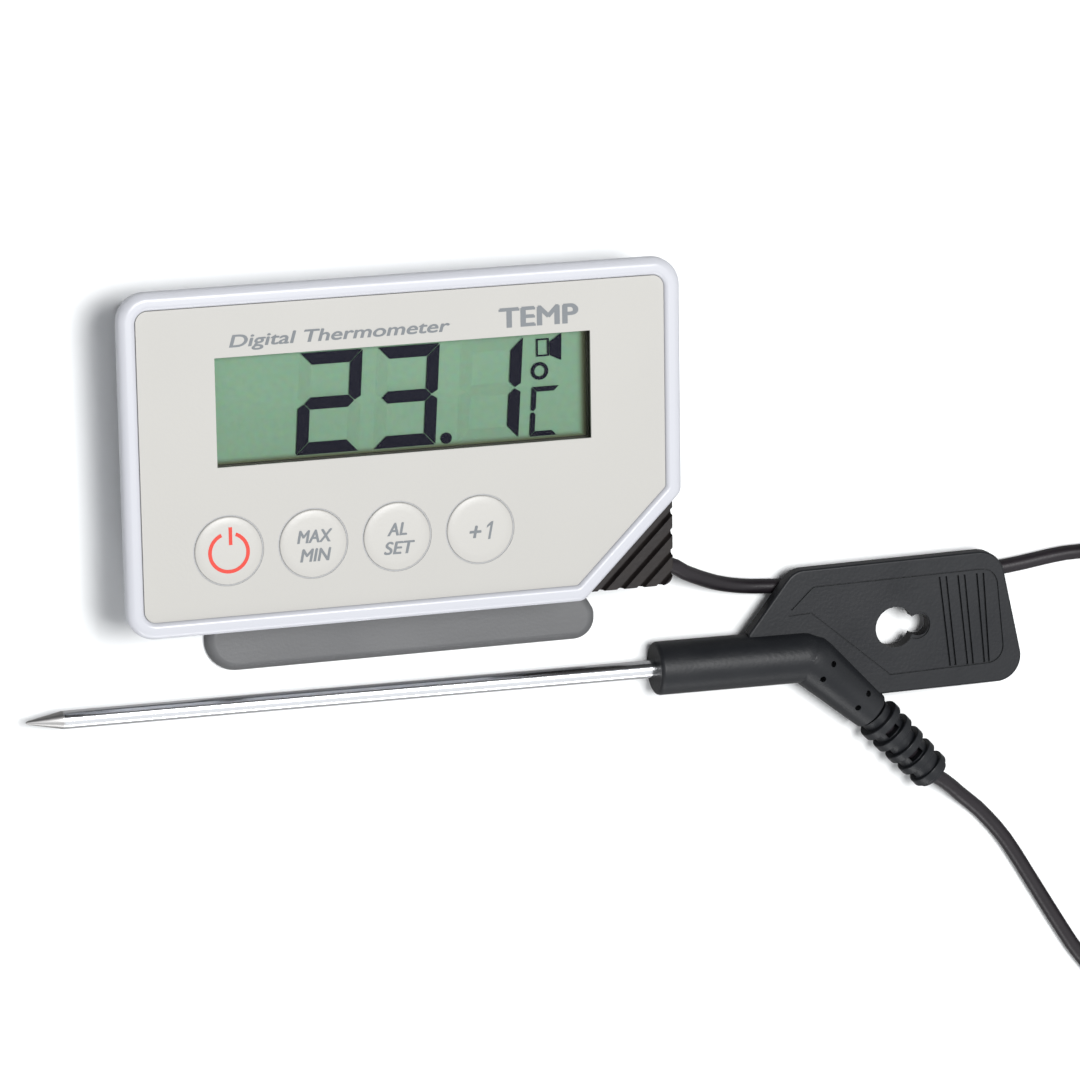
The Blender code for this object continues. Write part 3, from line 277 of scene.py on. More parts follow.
display_route = [(0.0545, -0.0293, 0.0085), (0.0562, -0.0299, 0.0081), (0.0588, -0.0317, 0.0070)]
display_route += [(0.0625, -0.0336, 0.0050), (0.0675, -0.0357, 0.0030), (0.0735, -0.0371, 0.0018)]
display_route += [(0.0814, -0.0378, CORD_LIE)]
display_route += [(0.0930, -0.0388, CORD_LIE), (0.1060, -0.0393, CORD_LIE), (0.1180, -0.0388, CORD_LIE)]
display_route += [(0.1299, -0.0377, CORD_LIE), (0.1446, -0.0362, CORD_LIE), (0.1600, -0.0385, CORD_LIE)]
display_route += [(0.1760, -0.0480, CORD_LIE), (0.1870, -0.0640, CORD_LIE), (0.1921, -0.0840, CORD_LIE)]
display_route += [(0.1919, -0.0940, CORD_LIE)]
coil_tail = [(0.1846, -0.1130, 0.0066), (0.1800, -0.1195, 0.0044), (0.1755, -0.1240, 0.0022)]
coil_tail += [(0.1715, -0.1268, CORD_LIE)]
display_points = [Vector(CORD_EXIT)] + smooth_points(display_route, 0.0028)
display_points += coil_points()
display_points += smooth_points([display_points[-1], *coil_tail], 0.0028)[1:]

relief_direction = Vector((math.cos(RELIEF_ANGLE), math.sin(RELIEF_ANGLE), 0))
relief_end = Vector(GRIP_END) + relief_direction * (RELIEF_SETBACK + RELIEF_LENGTH)
probe_exit = relief_end + relief_direction * 0.0003
probe_route = [tuple(probe_exit), (0.1152, -0.0807, 0.0040), (0.1190, -0.0841, 0.0023), (0.1233, -0.0879, CORD_LIE)]
probe_route += [(0.1287, -0.0943, CORD_LIE), (0.1349, -0.1042, CORD_LIE), (0.1400, -0.1125, CORD_LIE)]
probe_route += [(0.1453, -0.1205, CORD_LIE), (0.1525, -0.1280, CORD_LIE), (0.1620, -0.1305, CORD_LIE)]
probe_route += [(0.1690, -0.1284, CORD_LIE), (0.1712, -0.1270, CORD_LIE)]
probe_points = smooth_points(probe_route, 0.0028)

cord_to_display = made_piece("cord_to_display", tube_mesh("cord_to_display", display_points, CORD_RADIUS),
                             cord_sheath, sharp=60, weighted=False)
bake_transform(cord_to_display)
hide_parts("cord_display_run", "cord_coil")
cord_to_probe = made_piece("cord_to_probe", tube_mesh("cord_to_probe", probe_points, CORD_RADIUS),
                           cord_sheath, sharp=60, weighted=False)
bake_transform(cord_to_probe)
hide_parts("cord_probe_run")


# Tie: a soft rubber strap folded round the coil's turns, 3.6 mm wide.
TIE_WIDTH = 0.0036
TIE_THICKNESS = 0.0005


def outline(corners, step=5.0):
    """The outline through (x, y, radius) corners, with an arc at each corner that has a radius."""
    loop = []
    for index, (x, y, radius) in enumerate(corners):
        point = Vector((x, y))
        before = (Vector(corners[index - 1][:2]) - point).normalized()
        after = (Vector(corners[(index + 1) % len(corners)][:2]) - point).normalized()
        turn = math.pi - before.angle(after)
        if radius < 1e-6 or turn < 1e-3:
            loop.append((x, y))
            continue
        run = radius * math.tan(turn / 2)
        centre = point + (before + after).normalized() * radius / math.cos(turn / 2)
        first = point + before * run - centre
        sense = 1 if before.cross(after) < 0 else -1
        pieces = max(2, math.ceil(math.degrees(turn) / step))
        for piece in range(pieces + 1):
            arm = Matrix.Rotation(sense * turn * piece / pieces, 2) @ first
            loop.append(tuple(centre + arm))
    return loop


def slab(loop, low, high, top=0.0, bottom=0.0, segments=5, place=None):
    """A loop extruded from low to high, with its top or bottom rim rounded."""
    data = bmesh.new()
    base = data.faces.new([data.verts.new((x, y, low)) for x, y in loop])
    grown = bmesh.ops.extrude_face_region(data, geom=[base])["geom"]
    raised = [item for item in grown if isinstance(item, bmesh.types.BMVert)]
    bmesh.ops.translate(data, verts=raised, vec=(0, 0, high - low))
    bmesh.ops.recalc_face_normals(data, faces=data.faces)
    for level, size in ((high, top), (low, bottom)):
        if size:
            rim = [e for e in data.edges if all(abs(v.co.z - level) < 1e-7 for v in e.verts)]
            bmesh.ops.bevel(data, geom=rim, offset=size, segments=segments, profile=0.5, affect="EDGES", material=-1)
    if place:
        bmesh.ops.transform(data, matrix=place, verts=data.verts)
    return data


COIL_MIDDLE = 0.0165
COIL_HALF = 0.0048
COIL_HEIGHT = 0.0086
TIE_SLACK = 0.0003
tie_in = COIL_MIDDLE - COIL_HALF - TIE_SLACK
tie_out = COIL_MIDDLE + COIL_HALF + TIE_SLACK
tie_top = COIL_HEIGHT + TIE_SLACK
tie_bend = 0.0012
tie_loop = [(-tie_out - TIE_THICKNESS, 0, 0), (-tie_out, 0, 0), (-tie_out, tie_top, tie_bend)]
tie_loop += [(-tie_in, tie_top, tie_bend), (-tie_in, 0, 0), (-tie_in + TIE_THICKNESS, 0, 0)]
tie_loop += [(-tie_in + TIE_THICKNESS, tie_top + TIE_THICKNESS, tie_bend + TIE_THICKNESS)]
tie_loop += [(-tie_out - TIE_THICKNESS, tie_top + TIE_THICKNESS, tie_bend + TIE_THICKNESS)]
tie_stand = Matrix.Translation((COIL_CENTRE[0], COIL_CENTRE[1], 0)) @ Matrix.Rotation(math.radians(90), 4, "X")
tie_rubber = moulded("tie_rubber", ((0.10, 0.10, 0.10), (0.13, 0.13, 0.13)), (0.6, 0.7), (3000, 0.00004))
coil_tie = made_piece("coil_strap", slab(outline(tie_loop, 10), -TIE_WIDTH / 2, TIE_WIDTH / 2, 0.00012, 0.00012, 2,
                                         tie_stand), tie_rubber, "stand", ("coil_tie",))


# Floor and light: a white sweep that can't be seen from below and that is painted darker where glossy rays see it, a
# broad soft light from the upper right, a weak low one from the front, and a surround with dark cards in front and
# behind for the steel to mirror.
FLOOR_HALF = 3.0
LIGHT_AIM = (0.03, -0.03, 0)
floor_data = bmesh.new()
bmesh.ops.create_grid(floor_data, x_segments=1, y_segments=1, size=FLOOR_HALF)
floor_mesh = bpy.data.meshes.new("floor")
floor_data.to_mesh(floor_mesh)
floor_data.free()
floor = bpy.data.objects.new("floor", floor_mesh)
bpy.context.scene.collection.objects.link(floor)
floor_paint, paint_nodes, paint_link, paint = principled("floor_paint")
paint.inputs["Roughness"].default_value = 0.9
paint.inputs["Specular IOR Level"].default_value = 0.1
# Painted shade in reflections: glossy rays see the floor as 0.30 grey instead of white, so the steel mirrors it dark.
mirror_shade_ray = paint_nodes.new("ShaderNodeLightPath")
paint_link(mixed(paint_nodes, paint_link, mirror_shade_ray.outputs["Is Glossy Ray"], (0.91, 0.925, 0.93, 1),
                 (0.30, 0.30, 0.30, 1)), paint.inputs["Base Color"])
paint_side = paint_nodes.new("ShaderNodeNewGeometry")
paint_top = remapped(paint_nodes, paint_link, paint_side.outputs["Backfacing"], To_Min=1.0, To_Max=0.0)
paint_link(paint_top.outputs["Result"], paint.inputs["Alpha"])
floor_mesh.materials.append(floor_paint)


def soft_light(name, place, width, height, watts):
    """A rectangular area light at place, facing the middle of the object."""
    lamp = bpy.data.lights.new(name, "AREA")
    lamp.shape = "RECTANGLE"
    lamp.size = width
    lamp.size_y = height
    lamp.energy = watts
    made = bpy.data.objects.new(name, lamp)
    made.location = place
    made.rotation_euler = (Vector(LIGHT_AIM) - Vector(place)).to_track_quat("-Z", "Y").to_euler()
    bpy.context.scene.collection.objects.link(made)


soft_light("key_light", (0.16, 0.22, 1.18), 0.48, 0.48, 17.0)
soft_light("front_light", (-0.05, -0.95, 0.28), 0.90, 0.30, 4.5)

world = bpy.data.worlds.new("surround")
world.use_nodes = True
bpy.context.scene.world = world
world_nodes, world_link = world.node_tree.nodes, world.node_tree.links.new
surround = world_nodes["Background"]
surround.inputs["Color"].default_value = (0.97, 0.98, 1.0, 1)
sky_place = world_nodes.new("ShaderNodeTexCoord")
sky_parts = world_nodes.new("ShaderNodeSeparateXYZ")
world_link(sky_place.outputs["Generated"], sky_parts.inputs["Vector"])
sky_turn = remapped(world_nodes, world_link, sky_parts.outputs["Y"], From_Min=-1.0)
sky_cards = world_nodes.new("ShaderNodeValToRGB")
front_card, back_card = sky_cards.color_ramp.elements
front_card.position, front_card.color = 0.05, (0.30, 0.30, 0.30, 1)
back_card.position, back_card.color = 0.80, (0.05, 0.05, 0.05, 1)
for white_edge in (0.11, 0.67):
    sky_cards.color_ramp.elements.new(white_edge).color = (1, 1, 1, 1)
world_link(sky_turn.outputs["Result"], sky_cards.inputs["Fac"])
ray = world_nodes.new("ShaderNodeLightPath")
mirror_gain = remapped(world_nodes, world_link, ray.outputs["Is Glossy Ray"], To_Min=0.36, To_Max=1.11)
sky_level = world_nodes.new("ShaderNodeMath")
sky_level.operation = "MULTIPLY"
world_link(sky_cards.outputs["Color"], sky_level.inputs[0])
world_link(mirror_gain.outputs["Result"], sky_level.inputs[1])
world_link(sky_level.outputs["Value"], surround.inputs["Strength"])
bpy.context.scene.view_settings.view_transform = "Standard"


# Front case: the white moulded ABS bezel, a frame with a rounded outer edge round a sunken field that
# takes the label. Its window and key holes go through the field.
CASE_WIDTH = 0.109
CASE_HEIGHT = 0.0655
CHAMFER_LINE = (CASE_WIDTH + CASE_HEIGHT) / 2 - 0.0198
CORNER_RADIUS = 0.0055
FRONT_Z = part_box("front_case")[1].z
BEZEL_BACK_Z = FRONT_Z - 0.0030
BEZEL_RIM = 0.0034
BEZEL_INSIDE = 0.0053
LENS_MARGIN = 0.0016
TOOL_REACH = 0.002  # how far a cutter goes past the face that it opens
RECESS_Z = FRONT_Z - 0.0013
INNER_FRONT_Z = RECESS_Z - 0.0015
WINDOW_HALF_X = 0.03645
WINDOW_HALF_Y = 0.01035
WINDOW_Y = 0.0094
KEY_XS = (-0.0348, -0.0185, -0.0022, 0.0141)
KEY_Y = -0.0168
KEY_RADIUS = 0.0065
GAP = 0.0003


def case_outline(inset, radius):
    """The display's outline moved inwards: a rounded rectangle with its lower right corner cut off."""
    right = CASE_WIDTH / 2 - inset
    top = CASE_HEIGHT / 2 - inset
    line = CHAMFER_LINE - inset * math.sqrt(2)
    blunt = radius * 0.45
    corners = [(-right, top, radius), (-right, -top, radius), (line - top, -top, blunt)]
    corners += [(right, right - line, blunt), (right, top, radius)]
    return outline(corners)


def quarter(centre, radius, start, end, steps=6):
    """Points on an arc of a profile, from one angle to another in degrees."""
    points = []
    for step in range(steps + 1):
        angle = math.radians(start + (end - start) * step / steps)
        points.append((centre[0] + radius * math.cos(angle), centre[1] + radius * math.sin(angle)))
    return points


def framed(profile, loop_at):
    """A closed solid swept round an outline. The profile is (inset, height) points, capped at both ends."""
    data = bmesh.new()
    rings = []
    for inset, height in profile:
        verts = [data.verts.new((x, y, height)) for x, y in loop_at(inset)]
        rings.append([data.edges.new(pair) for pair in zip(verts, verts[1:] + verts[:1])])
    for ring, following in zip(rings, rings[1:]):
        bmesh.ops.bridge_loops(data, edges=ring + following)
    for ring in (rings[0], rings[-1]):
        bmesh.ops.contextual_create(data, geom=ring)
    bmesh.ops.recalc_face_normals(data, faces=data.faces)
    return data


def block(low, high):
    """A plain box between two corners, used as a cutter or as a blank."""
    data = bmesh.new()
    bmesh.ops.create_cube(data, size=1.0)
    bmesh.ops.scale(data, vec=Vector(high) - Vector(low), verts=data.verts)
    bmesh.ops.translate(data, vec=(Vector(high) + Vector(low)) / 2, verts=data.verts)
    return data


def spun(profile, place=None, steps=64):
    """A closed (radius, height) profile turned about Z."""
    data = bmesh.new()
    points = [data.verts.new((radius, 0, height)) for radius, height in profile]
    edges = [data.edges.new(pair) for pair in zip(points, points[1:] + points[:1])]
    on_axis = {point for point in points if point.co.x < 1e-9}
    edges = [edge for edge in edges if not set(edge.verts) <= on_axis]
    bmesh.ops.spin(data, geom=points + edges, cent=(0, 0, 0), axis=(0, 0, 1), angle=math.tau, steps=steps,
                   use_merge=True)
    bmesh.ops.delete(data, geom=[e for e in data.edges if not e.link_faces], context="EDGES")
    bmesh.ops.remove_doubles(data, verts=data.verts, dist=1e-7)
    if place:
        bmesh.ops.transform(data, matrix=place, verts=data.verts)
    bmesh.ops.recalc_face_normals(data, faces=data.faces)
    return data


def rod(radius, low, high, x=0.0, y=0.0, place=None, steps=48):
    """A cylinder from low to high at (x, y), along Z unless it is placed otherwise."""
    profile = ((0, low), (radius, low), (radius, high), (0, high))
    return spun(profile, (place or Matrix()) @ Matrix.Translation((x, y, 0)), steps)


def temporary(data, name):
    bmesh.ops.remove_doubles(data, verts=data.verts, dist=1e-7)
    bmesh.ops.recalc_face_normals(data, faces=data.faces)
    mesh = bpy.data.meshes.new(name)
    data.to_mesh(mesh)
    data.free()
    made = bpy.data.objects.new(name, mesh)
    bpy.context.scene.collection.objects.link(made)
    return made


def worked(blank, steps):
    """The blank after (operation, bmesh) steps, where an operation joins, cuts or keeps what is common."""
    target = temporary(blank, "blank")
    tools = []
    for operation, data in steps:
        tool = temporary(data, "tool")
        tools.append(tool)
        change = target.modifiers.new("change", "BOOLEAN")
        change.operation = {"join": "UNION", "cut": "DIFFERENCE", "keep": "INTERSECT"}[operation]
        change.solver = "MANIFOLD"
        change.object = tool
    bpy.context.view_layer.update()
    mesh = bpy.data.meshes.new_from_object(target.evaluated_get(bpy.context.evaluated_depsgraph_get()))
    result = bmesh.new()
    result.from_mesh(mesh)
    for old in [target, *tools]:
        bpy.data.objects.remove(old, do_unlink=True)
    bmesh.ops.dissolve_limit(result, angle_limit=math.radians(0.5), verts=result.verts, edges=result.edges)
    return result


def bezel_radius(inset):
    return max(CORNER_RADIUS - inset * 0.95, 0.0016)


bezel_profile = [(BEZEL_INSIDE, INNER_FRONT_Z), (BEZEL_INSIDE, BEZEL_BACK_Z)]
bezel_profile += quarter((0.0004, BEZEL_BACK_Z + 0.0004), 0.0004, 270, 180, 4)
bezel_profile += quarter((0.0016, FRONT_Z - 0.0016), 0.0016, 180, 90, 10)
bezel_profile += quarter((BEZEL_RIM - 0.0011, FRONT_Z - 0.0010), 0.0010, 90, 0, 8)
bezel_profile += [(BEZEL_RIM - 0.0001, RECESS_Z)]
bezel_cuts = []
for key_x in KEY_XS:
    bezel_cuts.append(("cut", rod(KEY_RADIUS + GAP, INNER_FRONT_Z - TOOL_REACH, FRONT_Z, key_x, KEY_Y)))
lens_x = WINDOW_HALF_X + LENS_MARGIN + GAP
lens_y = WINDOW_HALF_Y + LENS_MARGIN + GAP
bezel_cuts.append(("cut", block((-lens_x, WINDOW_Y - lens_y, INNER_FRONT_Z - TOOL_REACH),
                                (lens_x, WINDOW_Y + lens_y, FRONT_Z))))
bezel = worked(framed(bezel_profile, lambda inset: case_outline(inset, bezel_radius(inset))), bezel_cuts)
white_abs = moulded("white_abs", ((0.52, 0.53, 0.57), (0.50, 0.51, 0.55)), (0.26, 0.34), (1800, 0.000012), 25.0,
                    Specular_IOR_Level=0.45)
made_piece("bezel", bezel, white_abs, "housing", ("front_case",))


# Label: a printed film, half a millimetre thick on its backing, that fills the sunken field. Its surface
# is a warm pale grey with a fine eggshell texture, cut out for the window and the keys.
LABEL_TOP_Z = FRONT_Z - 0.0005
LABEL_LOW_Z = RECESS_Z + GAP
label_cuts = []
for key_x in KEY_XS:
    label_cuts.append(("cut", rod(KEY_RADIUS + GAP, RECESS_Z, FRONT_Z, key_x, KEY_Y)))
label_cuts.append(("cut", block((-WINDOW_HALF_X, WINDOW_Y - WINDOW_HALF_Y, RECESS_Z),
                                (WINDOW_HALF_X, WINDOW_Y + WINDOW_HALF_Y, FRONT_Z))))
label_loop = case_outline(BEZEL_RIM - 0.00006, bezel_radius(BEZEL_RIM))
label = worked(slab(label_loop, LABEL_LOW_Z, LABEL_TOP_Z, 0.00006, 0, 2), label_cuts)
label_film = moulded("label_film", ((0.445, 0.438, 0.415), (0.432, 0.426, 0.405)), (0.42, 0.52), (1500, 0.00002), 18.0,
                     Specular_IOR_Level=0.4)
made_piece("label", label, label_film, "housing", ("label_panel",))


# Lettering: thin grey print on the label and the key caps. Each line is laid down three times, a hair apart
# and each a little higher, which makes its strokes bold.
PRINT_THICKNESS = 0.00003
PRINT_LAYER = 0.000004
print_grey = moulded("print_grey", ((0.190, 0.205, 0.218), (0.175, 0.190, 0.203)), (0.5, 0.6), (3000, 0.00001),
                     Specular_IOR_Level=0.2)


def lettering(name, text, low, high, level, body, slant=0.22, weight=0.0001):
    """A line of bold italic print that fills the box between two corners on the level surface."""
    curve = bpy.data.curves.new(name, "FONT")
    curve.body = text
    curve.shear = slant
    curve.extrude = 0.5
    curve.resolution_u = 6
    line = bpy.data.objects.new(name + "_line", curve)
    bpy.context.scene.collection.objects.link(line)
    bpy.context.view_layer.update()
    mesh = bpy.data.meshes.new_from_object(line)
    bpy.data.objects.remove(line, do_unlink=True)
    data = bmesh.new()
    data.from_mesh(mesh)
    bpy.data.meshes.remove(mesh)
    least = Vector([min(v.co[axis] for v in data.verts) for axis in range(3)])
    most = Vector([max(v.co[axis] for v in data.verts) for axis in range(3)])
    bmesh.ops.translate(data, vec=-least, verts=data.verts)
    size = most - least
    wide = (high[0] - low[0] - 2 * weight) / size.x
    tall = (high[1] - low[1] - weight) / size.y
    bmesh.ops.scale(data, vec=(wide, tall, PRINT_THICKNESS / size.z), verts=data.verts)
    bmesh.ops.translate(data, vec=(low[0], low[1], level), verts=data.verts)
    first = list(data.verts) + list(data.edges) + list(data.faces)
    for share in (1, 2):
        copied = bmesh.ops.duplicate(data, geom=first)["geom"]
        moved = [item for item in copied if isinstance(item, bmesh.types.BMVert)]
        bmesh.ops.translate(data, vec=(share * weight, weight * (2 - share), share * PRINT_LAYER),
                            verts=moved)
    return made_piece(name, data, print_grey, body, weighted=False)


lettering("title_print", "Digital Thermometer", (-0.0336, 0.0208), (0.0090, 0.0239), LABEL_TOP_Z, "housing", 0.2)
lettering("type_print", "TEMP", (0.0185, 0.0214), (0.0342, 0.0252), LABEL_TOP_Z, "housing", 0.0, 0.00022)


# Display: a reflective liquid crystal cell behind a clear window. The digits are on the front glass, so
# they throw a faint shadow on the grey-green layer behind.
CELL_TOP_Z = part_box("lcd_cell")[1].z
SEGMENT_Z = CELL_TOP_Z + 0.00042
DIGIT_BOTTOM = -0.0004
DIGIT_HEIGHT = 0.0193
DIGIT_WIDTH = 0.0121
DIGIT_STROKE = 0.0023
DIGIT_SLANT = 0.066
DIGIT_RIGHTS = (-0.0085, 0.0065, 0.02285)
SEGMENT_GAP = 0.00012
SEGMENT_THICKNESS = 0.00004


def segment(data, points):
    """One segment of a digit, a flat polygon of printed electrode with a little thickness."""
    low = [data.verts.new((x, y, SEGMENT_Z)) for x, y in points]
    face = data.faces.new(low)
    grown = bmesh.ops.extrude_face_region(data, geom=[face])["geom"]
    raised = [item for item in grown if isinstance(item, bmesh.types.BMVert)]
    bmesh.ops.translate(data, verts=raised, vec=(0, 0, SEGMENT_THICKNESS))


def slanted(points, left, bottom):
    """Points of an upright digit, leant over and put in their place."""
    return [(left + x + DIGIT_SLANT * y, bottom + y) for x, y in points]


def digit_segments(wide, tall, stroke, gap):
    """The seven segments a to g of an upright digit whose lower left corner is at the origin."""
    mid = tall / 2
    s = stroke
    h = stroke / 2
    g = gap
    shapes = {
        "a": [(g, tall), (wide - g, tall), (wide - s - g, tall - s), (s + g, tall - s)],
        "d": [(g, 0), (wide - g, 0), (wide - s - g, s), (s + g, s)],
        "g": [(h + g, mid), (s + g, mid + h), (wide - s - g, mid + h), (wide - h - g, mid), (wide - s - g, mid - h),
              (s + g, mid - h)],
        "f": [(0, tall - g), (0, mid + h * 0.6 + g), (h, mid + g), (s, mid + h + g), (s, tall - s - g)],
        "e": [(0, g), (0, mid - h * 0.6 - g), (h, mid - g), (s, mid - h - g), (s, s + g)],
        "b": [(wide, tall - g), (wide, mid + h * 0.6 + g), (wide - h, mid + g), (wide - s, mid + h + g),
              (wide - s, tall - s - g)],
        "c": [(wide, g), (wide, mid - h * 0.6 - g), (wide - h, mid - g), (wide - s, mid - h - g), (wide - s, s + g)],
    }
    return shapes


lit = bmesh.new()
unlit = bmesh.new()
for digit_right, shown in zip(DIGIT_RIGHTS, ("abged", "abgcd", "bc")):
    for label_of, shape in digit_segments(DIGIT_WIDTH, DIGIT_HEIGHT, DIGIT_STROKE, SEGMENT_GAP).items():
        points = slanted(shape, digit_right - DIGIT_WIDTH, DIGIT_BOTTOM)
        segment(lit if label_of in shown else unlit, points)
for label_of, shape in digit_segments(0.0054, 0.0095, 0.00095, 0.00009).items():
    if label_of in "aefd":
        segment(lit, slanted(shape, 0.0251, DIGIT_BOTTOM))


def flat_ring(data, centre, outer, inner, start=0.0, sweep=math.tau, level=SEGMENT_Z, thick=SEGMENT_THICKNESS,
              steps=48):
    """A flat ring, or a part of one, spun from its own section."""
    low = [data.verts.new((centre[0] + r * math.cos(start), centre[1] + r * math.sin(start), z))
           for r, z in ((inner, level), (outer, level), (outer, level + thick), (inner, level + thick))]
    face = data.faces.new(low)
    whole = sweep > math.tau - 1e-6
    bmesh.ops.spin(data, geom=[face, *face.edges, *low], cent=(centre[0], centre[1], level), axis=(0, 0, 1),
                   angle=sweep, steps=steps, use_merge=whole)


segment(lit, quarter((0.0087, 0.0006), 0.00107, 0, 351, 39))
flat_ring(lit, (0.0273, 0.0121), 0.0017, 0.00105)
box_left, box_right, box_low, box_high, box_line = 0.0267, 0.0292, 0.01487, 0.0183, 0.00032
for left, low, right, high in ((box_left, box_low, box_right, box_low + box_line),
                               (box_left, box_high - box_line, box_right, box_high),
                               (box_left, box_low + box_line, box_left + box_line, box_high - box_line),
                               (box_right - box_line, box_low + box_line, box_right, box_high - box_line)):
    segment(lit, [(left, low), (right, low), (right, high), (left, high)])
segment(lit, [(0.02935, 0.0150), (0.0316, 0.0139), (0.0317, 0.0191), (0.02935, 0.0176)])

segment_ink = moulded("segment_ink", ((0.006, 0.006, 0.015), (0.008, 0.008, 0.019)), (0.5, 0.6), (2000, 0.000005),
                      Specular_IOR_Level=0.05)
made_piece("lcd_digits", lit, segment_ink, "housing", weighted=False)
ghost_ink = moulded("ghost_ink", ((0.20, 0.17, 0.16), (0.22, 0.19, 0.18)), (0.5, 0.6), (2000, 0.000005),
                    Alpha=0.018, Specular_IOR_Level=0.05)
made_piece("lcd_unlit_segments", unlit, ghost_ink, "housing", weighted=False)


def lcd_layer_material():
    """Grey-green reflective layer with a silky speckle: olive along its own lower border, and darkened to olive towards
    its right edge by a painted shadow of the window's right wall.
    """
    material, nodes, link, shader = principled("lcd_layer")
    place = nodes.new("ShaderNodeTexCoord").outputs["Object"]
    parts = nodes.new("ShaderNodeSeparateXYZ")
    link(place, parts.inputs["Vector"])
    # Painted shadow: the layer turns olive from x 34.6 to 36.3 mm, where the window's right wall would shade it.
    right_wall_shadow = remapped(nodes, link, parts.outputs["X"], True, From_Min=0.0346, From_Max=0.0363)
    # The layer's own olive border along its lower edge.
    low_edge = remapped(nodes, link, parts.outputs["Y"], True, From_Min=0.0002, From_Max=-0.0011)
    wall_shadow_and_border = nodes.new("ShaderNodeMath")
    wall_shadow_and_border.operation = "MAXIMUM"
    link(right_wall_shadow.outputs["Result"], wall_shadow_and_border.inputs[0])
    link(low_edge.outputs["Result"], wall_shadow_and_border.inputs[1])
    silk = noise(nodes, link, place, 900, 4)
    slow = noise(nodes, link, place, 45)
    field = mixed(nodes, link, slow.outputs["Fac"], (0.215, 0.375, 0.250, 1), (0.250, 0.420, 0.285, 1))
    speck = nodes.new("ShaderNodeMix")
    speck.data_type = "RGBA"
    speck.blend_type = "SOFT_LIGHT"
    speck.inputs["Factor"].default_value = 0.25
    link(field, speck.inputs["A"])
    link(silk.outputs["Color"], speck.inputs["B"])
    # One olive colour serves both the painted shadow at the right and the real border at the bottom.
    edge = mixed(nodes, link, wall_shadow_and_border.outputs["Value"], speck.outputs["Result"], (0.10, 0.115, 0.062, 1))
    link(edge, shader.inputs["Base Color"])
    shader.inputs["Roughness"].default_value = 0.55
    shader.inputs["Specular IOR Level"].default_value = 0.1
    return material


def rectangle(low, high):
    return [(low.x, low.y), (high.x, low.y), (high.x, high.y), (low.x, high.y)]


cell_low, cell_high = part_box("lcd_cell")
made_piece("lcd_layer", slab(rectangle(cell_low, cell_high), cell_low.z, cell_high.z, 0.0001, 0.0001, 2),
           lcd_layer_material(), "housing", ("lcd_cell",))

frame_low, frame_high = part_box("lcd_frame")
frame_blank = block((frame_low.x, frame_low.y, CELL_TOP_Z + 0.0001),
                    (frame_high.x, frame_high.y, frame_high.z + 0.0002))
frame_open = block((-WINDOW_HALF_X - 0.0001, WINDOW_Y - WINDOW_HALF_Y - 0.0001, CELL_TOP_Z - 0.001),
                   (WINDOW_HALF_X + 0.0001, WINDOW_Y + WINDOW_HALF_Y + 0.0001, FRONT_Z))
mask_olive = moulded("mask_olive", ((0.060, 0.060, 0.044), (0.070, 0.068, 0.050)), (0.5, 0.6), (2500, 0.00001))
made_piece("lcd_surround", worked(frame_blank, [("cut", frame_open)]), mask_olive, "housing",
           ("lcd_frame",))


def clear_material(name, alpha, roughness):
    """A thin clear pane: mostly see-through, with a faint even haze."""
    material, nodes, link, shader = principled(name)
    shader.inputs["Base Color"].default_value = (0.01, 0.012, 0.012, 1)
    shader.inputs["Alpha"].default_value = alpha
    haze = noise(nodes, link, nodes.new("ShaderNodeTexCoord").outputs["Object"], 120)
    spread = remapped(nodes, link, haze.outputs["Fac"], To_Min=roughness, To_Max=roughness + 0.06)
    link(spread.outputs["Result"], shader.inputs["Roughness"])
    return material


window_low, window_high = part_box("lcd_window")
made_piece("window", slab(rectangle(window_low, window_high), window_low.z, window_high.z, 0.00012, 0.00012, 2),
           clear_material("clear_window", 0.10, 0.06), "housing", ("lcd_window",))


# Keys: four round caps, 13 mm across, each a slightly domed disc of the same pale film over a plunger.
# A thin grey seal ring closes the gap round each one.
KEY_LOW_Z, KEY_TOP_Z = (corner.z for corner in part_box("key_power"))
KEY_STEM = 0.0020
KEY_FLANGE = KEY_RADIUS + 0.0010
KEY_BODIES = ("power_key", "max_min_key", "alarm_set_key", "plus_one_key")
KEY_NODES = ("key_power", "key_max_min", "key_alarm_set", "key_plus_one")
KEY_FLANGE_TOP = INNER_FRONT_Z - GAP
KEY_FLANGE_LOW = KEY_FLANGE_TOP - 0.0005
key_film = moulded("key_film", ((0.465, 0.457, 0.433), (0.450, 0.443, 0.421)), (0.36, 0.46), (1500, 0.00002), 18.0)
seal_grey = moulded("seal_grey", ((0.36, 0.365, 0.37), (0.39, 0.395, 0.40)), (0.6, 0.7), (3000, 0.00002))
key_profile = [(0, KEY_LOW_Z), (KEY_STEM, KEY_LOW_Z), (KEY_STEM, KEY_FLANGE_LOW)]
key_profile += [(KEY_FLANGE, KEY_FLANGE_LOW), (KEY_FLANGE, KEY_FLANGE_TOP)]
key_profile += [(KEY_RADIUS, KEY_FLANGE_TOP)]
key_profile += quarter((KEY_RADIUS - 0.0003, KEY_TOP_Z - 0.00045), 0.0003, 0, 78, 5)
key_profile += [(KEY_RADIUS * 0.86, KEY_TOP_Z - 0.00006), (KEY_RADIUS * 0.74, KEY_TOP_Z), (0, KEY_TOP_Z)]
seals = bmesh.new()
for key_x, body_name, node_name in zip(KEY_XS, KEY_BODIES, KEY_NODES):
    made_piece(node_name + "_cap", spun(key_profile, Matrix.Translation((key_x, KEY_Y, 0)), 96), key_film, body_name,
               (node_name,))
    flat_ring(seals, (key_x, KEY_Y), KEY_RADIUS + 0.00027, KEY_RADIUS + 0.00003, level=LABEL_TOP_Z - 0.0004,
              thick=0.00028, steps=96)
made_piece("key_seals", seals, seal_grey, "housing", weighted=False)

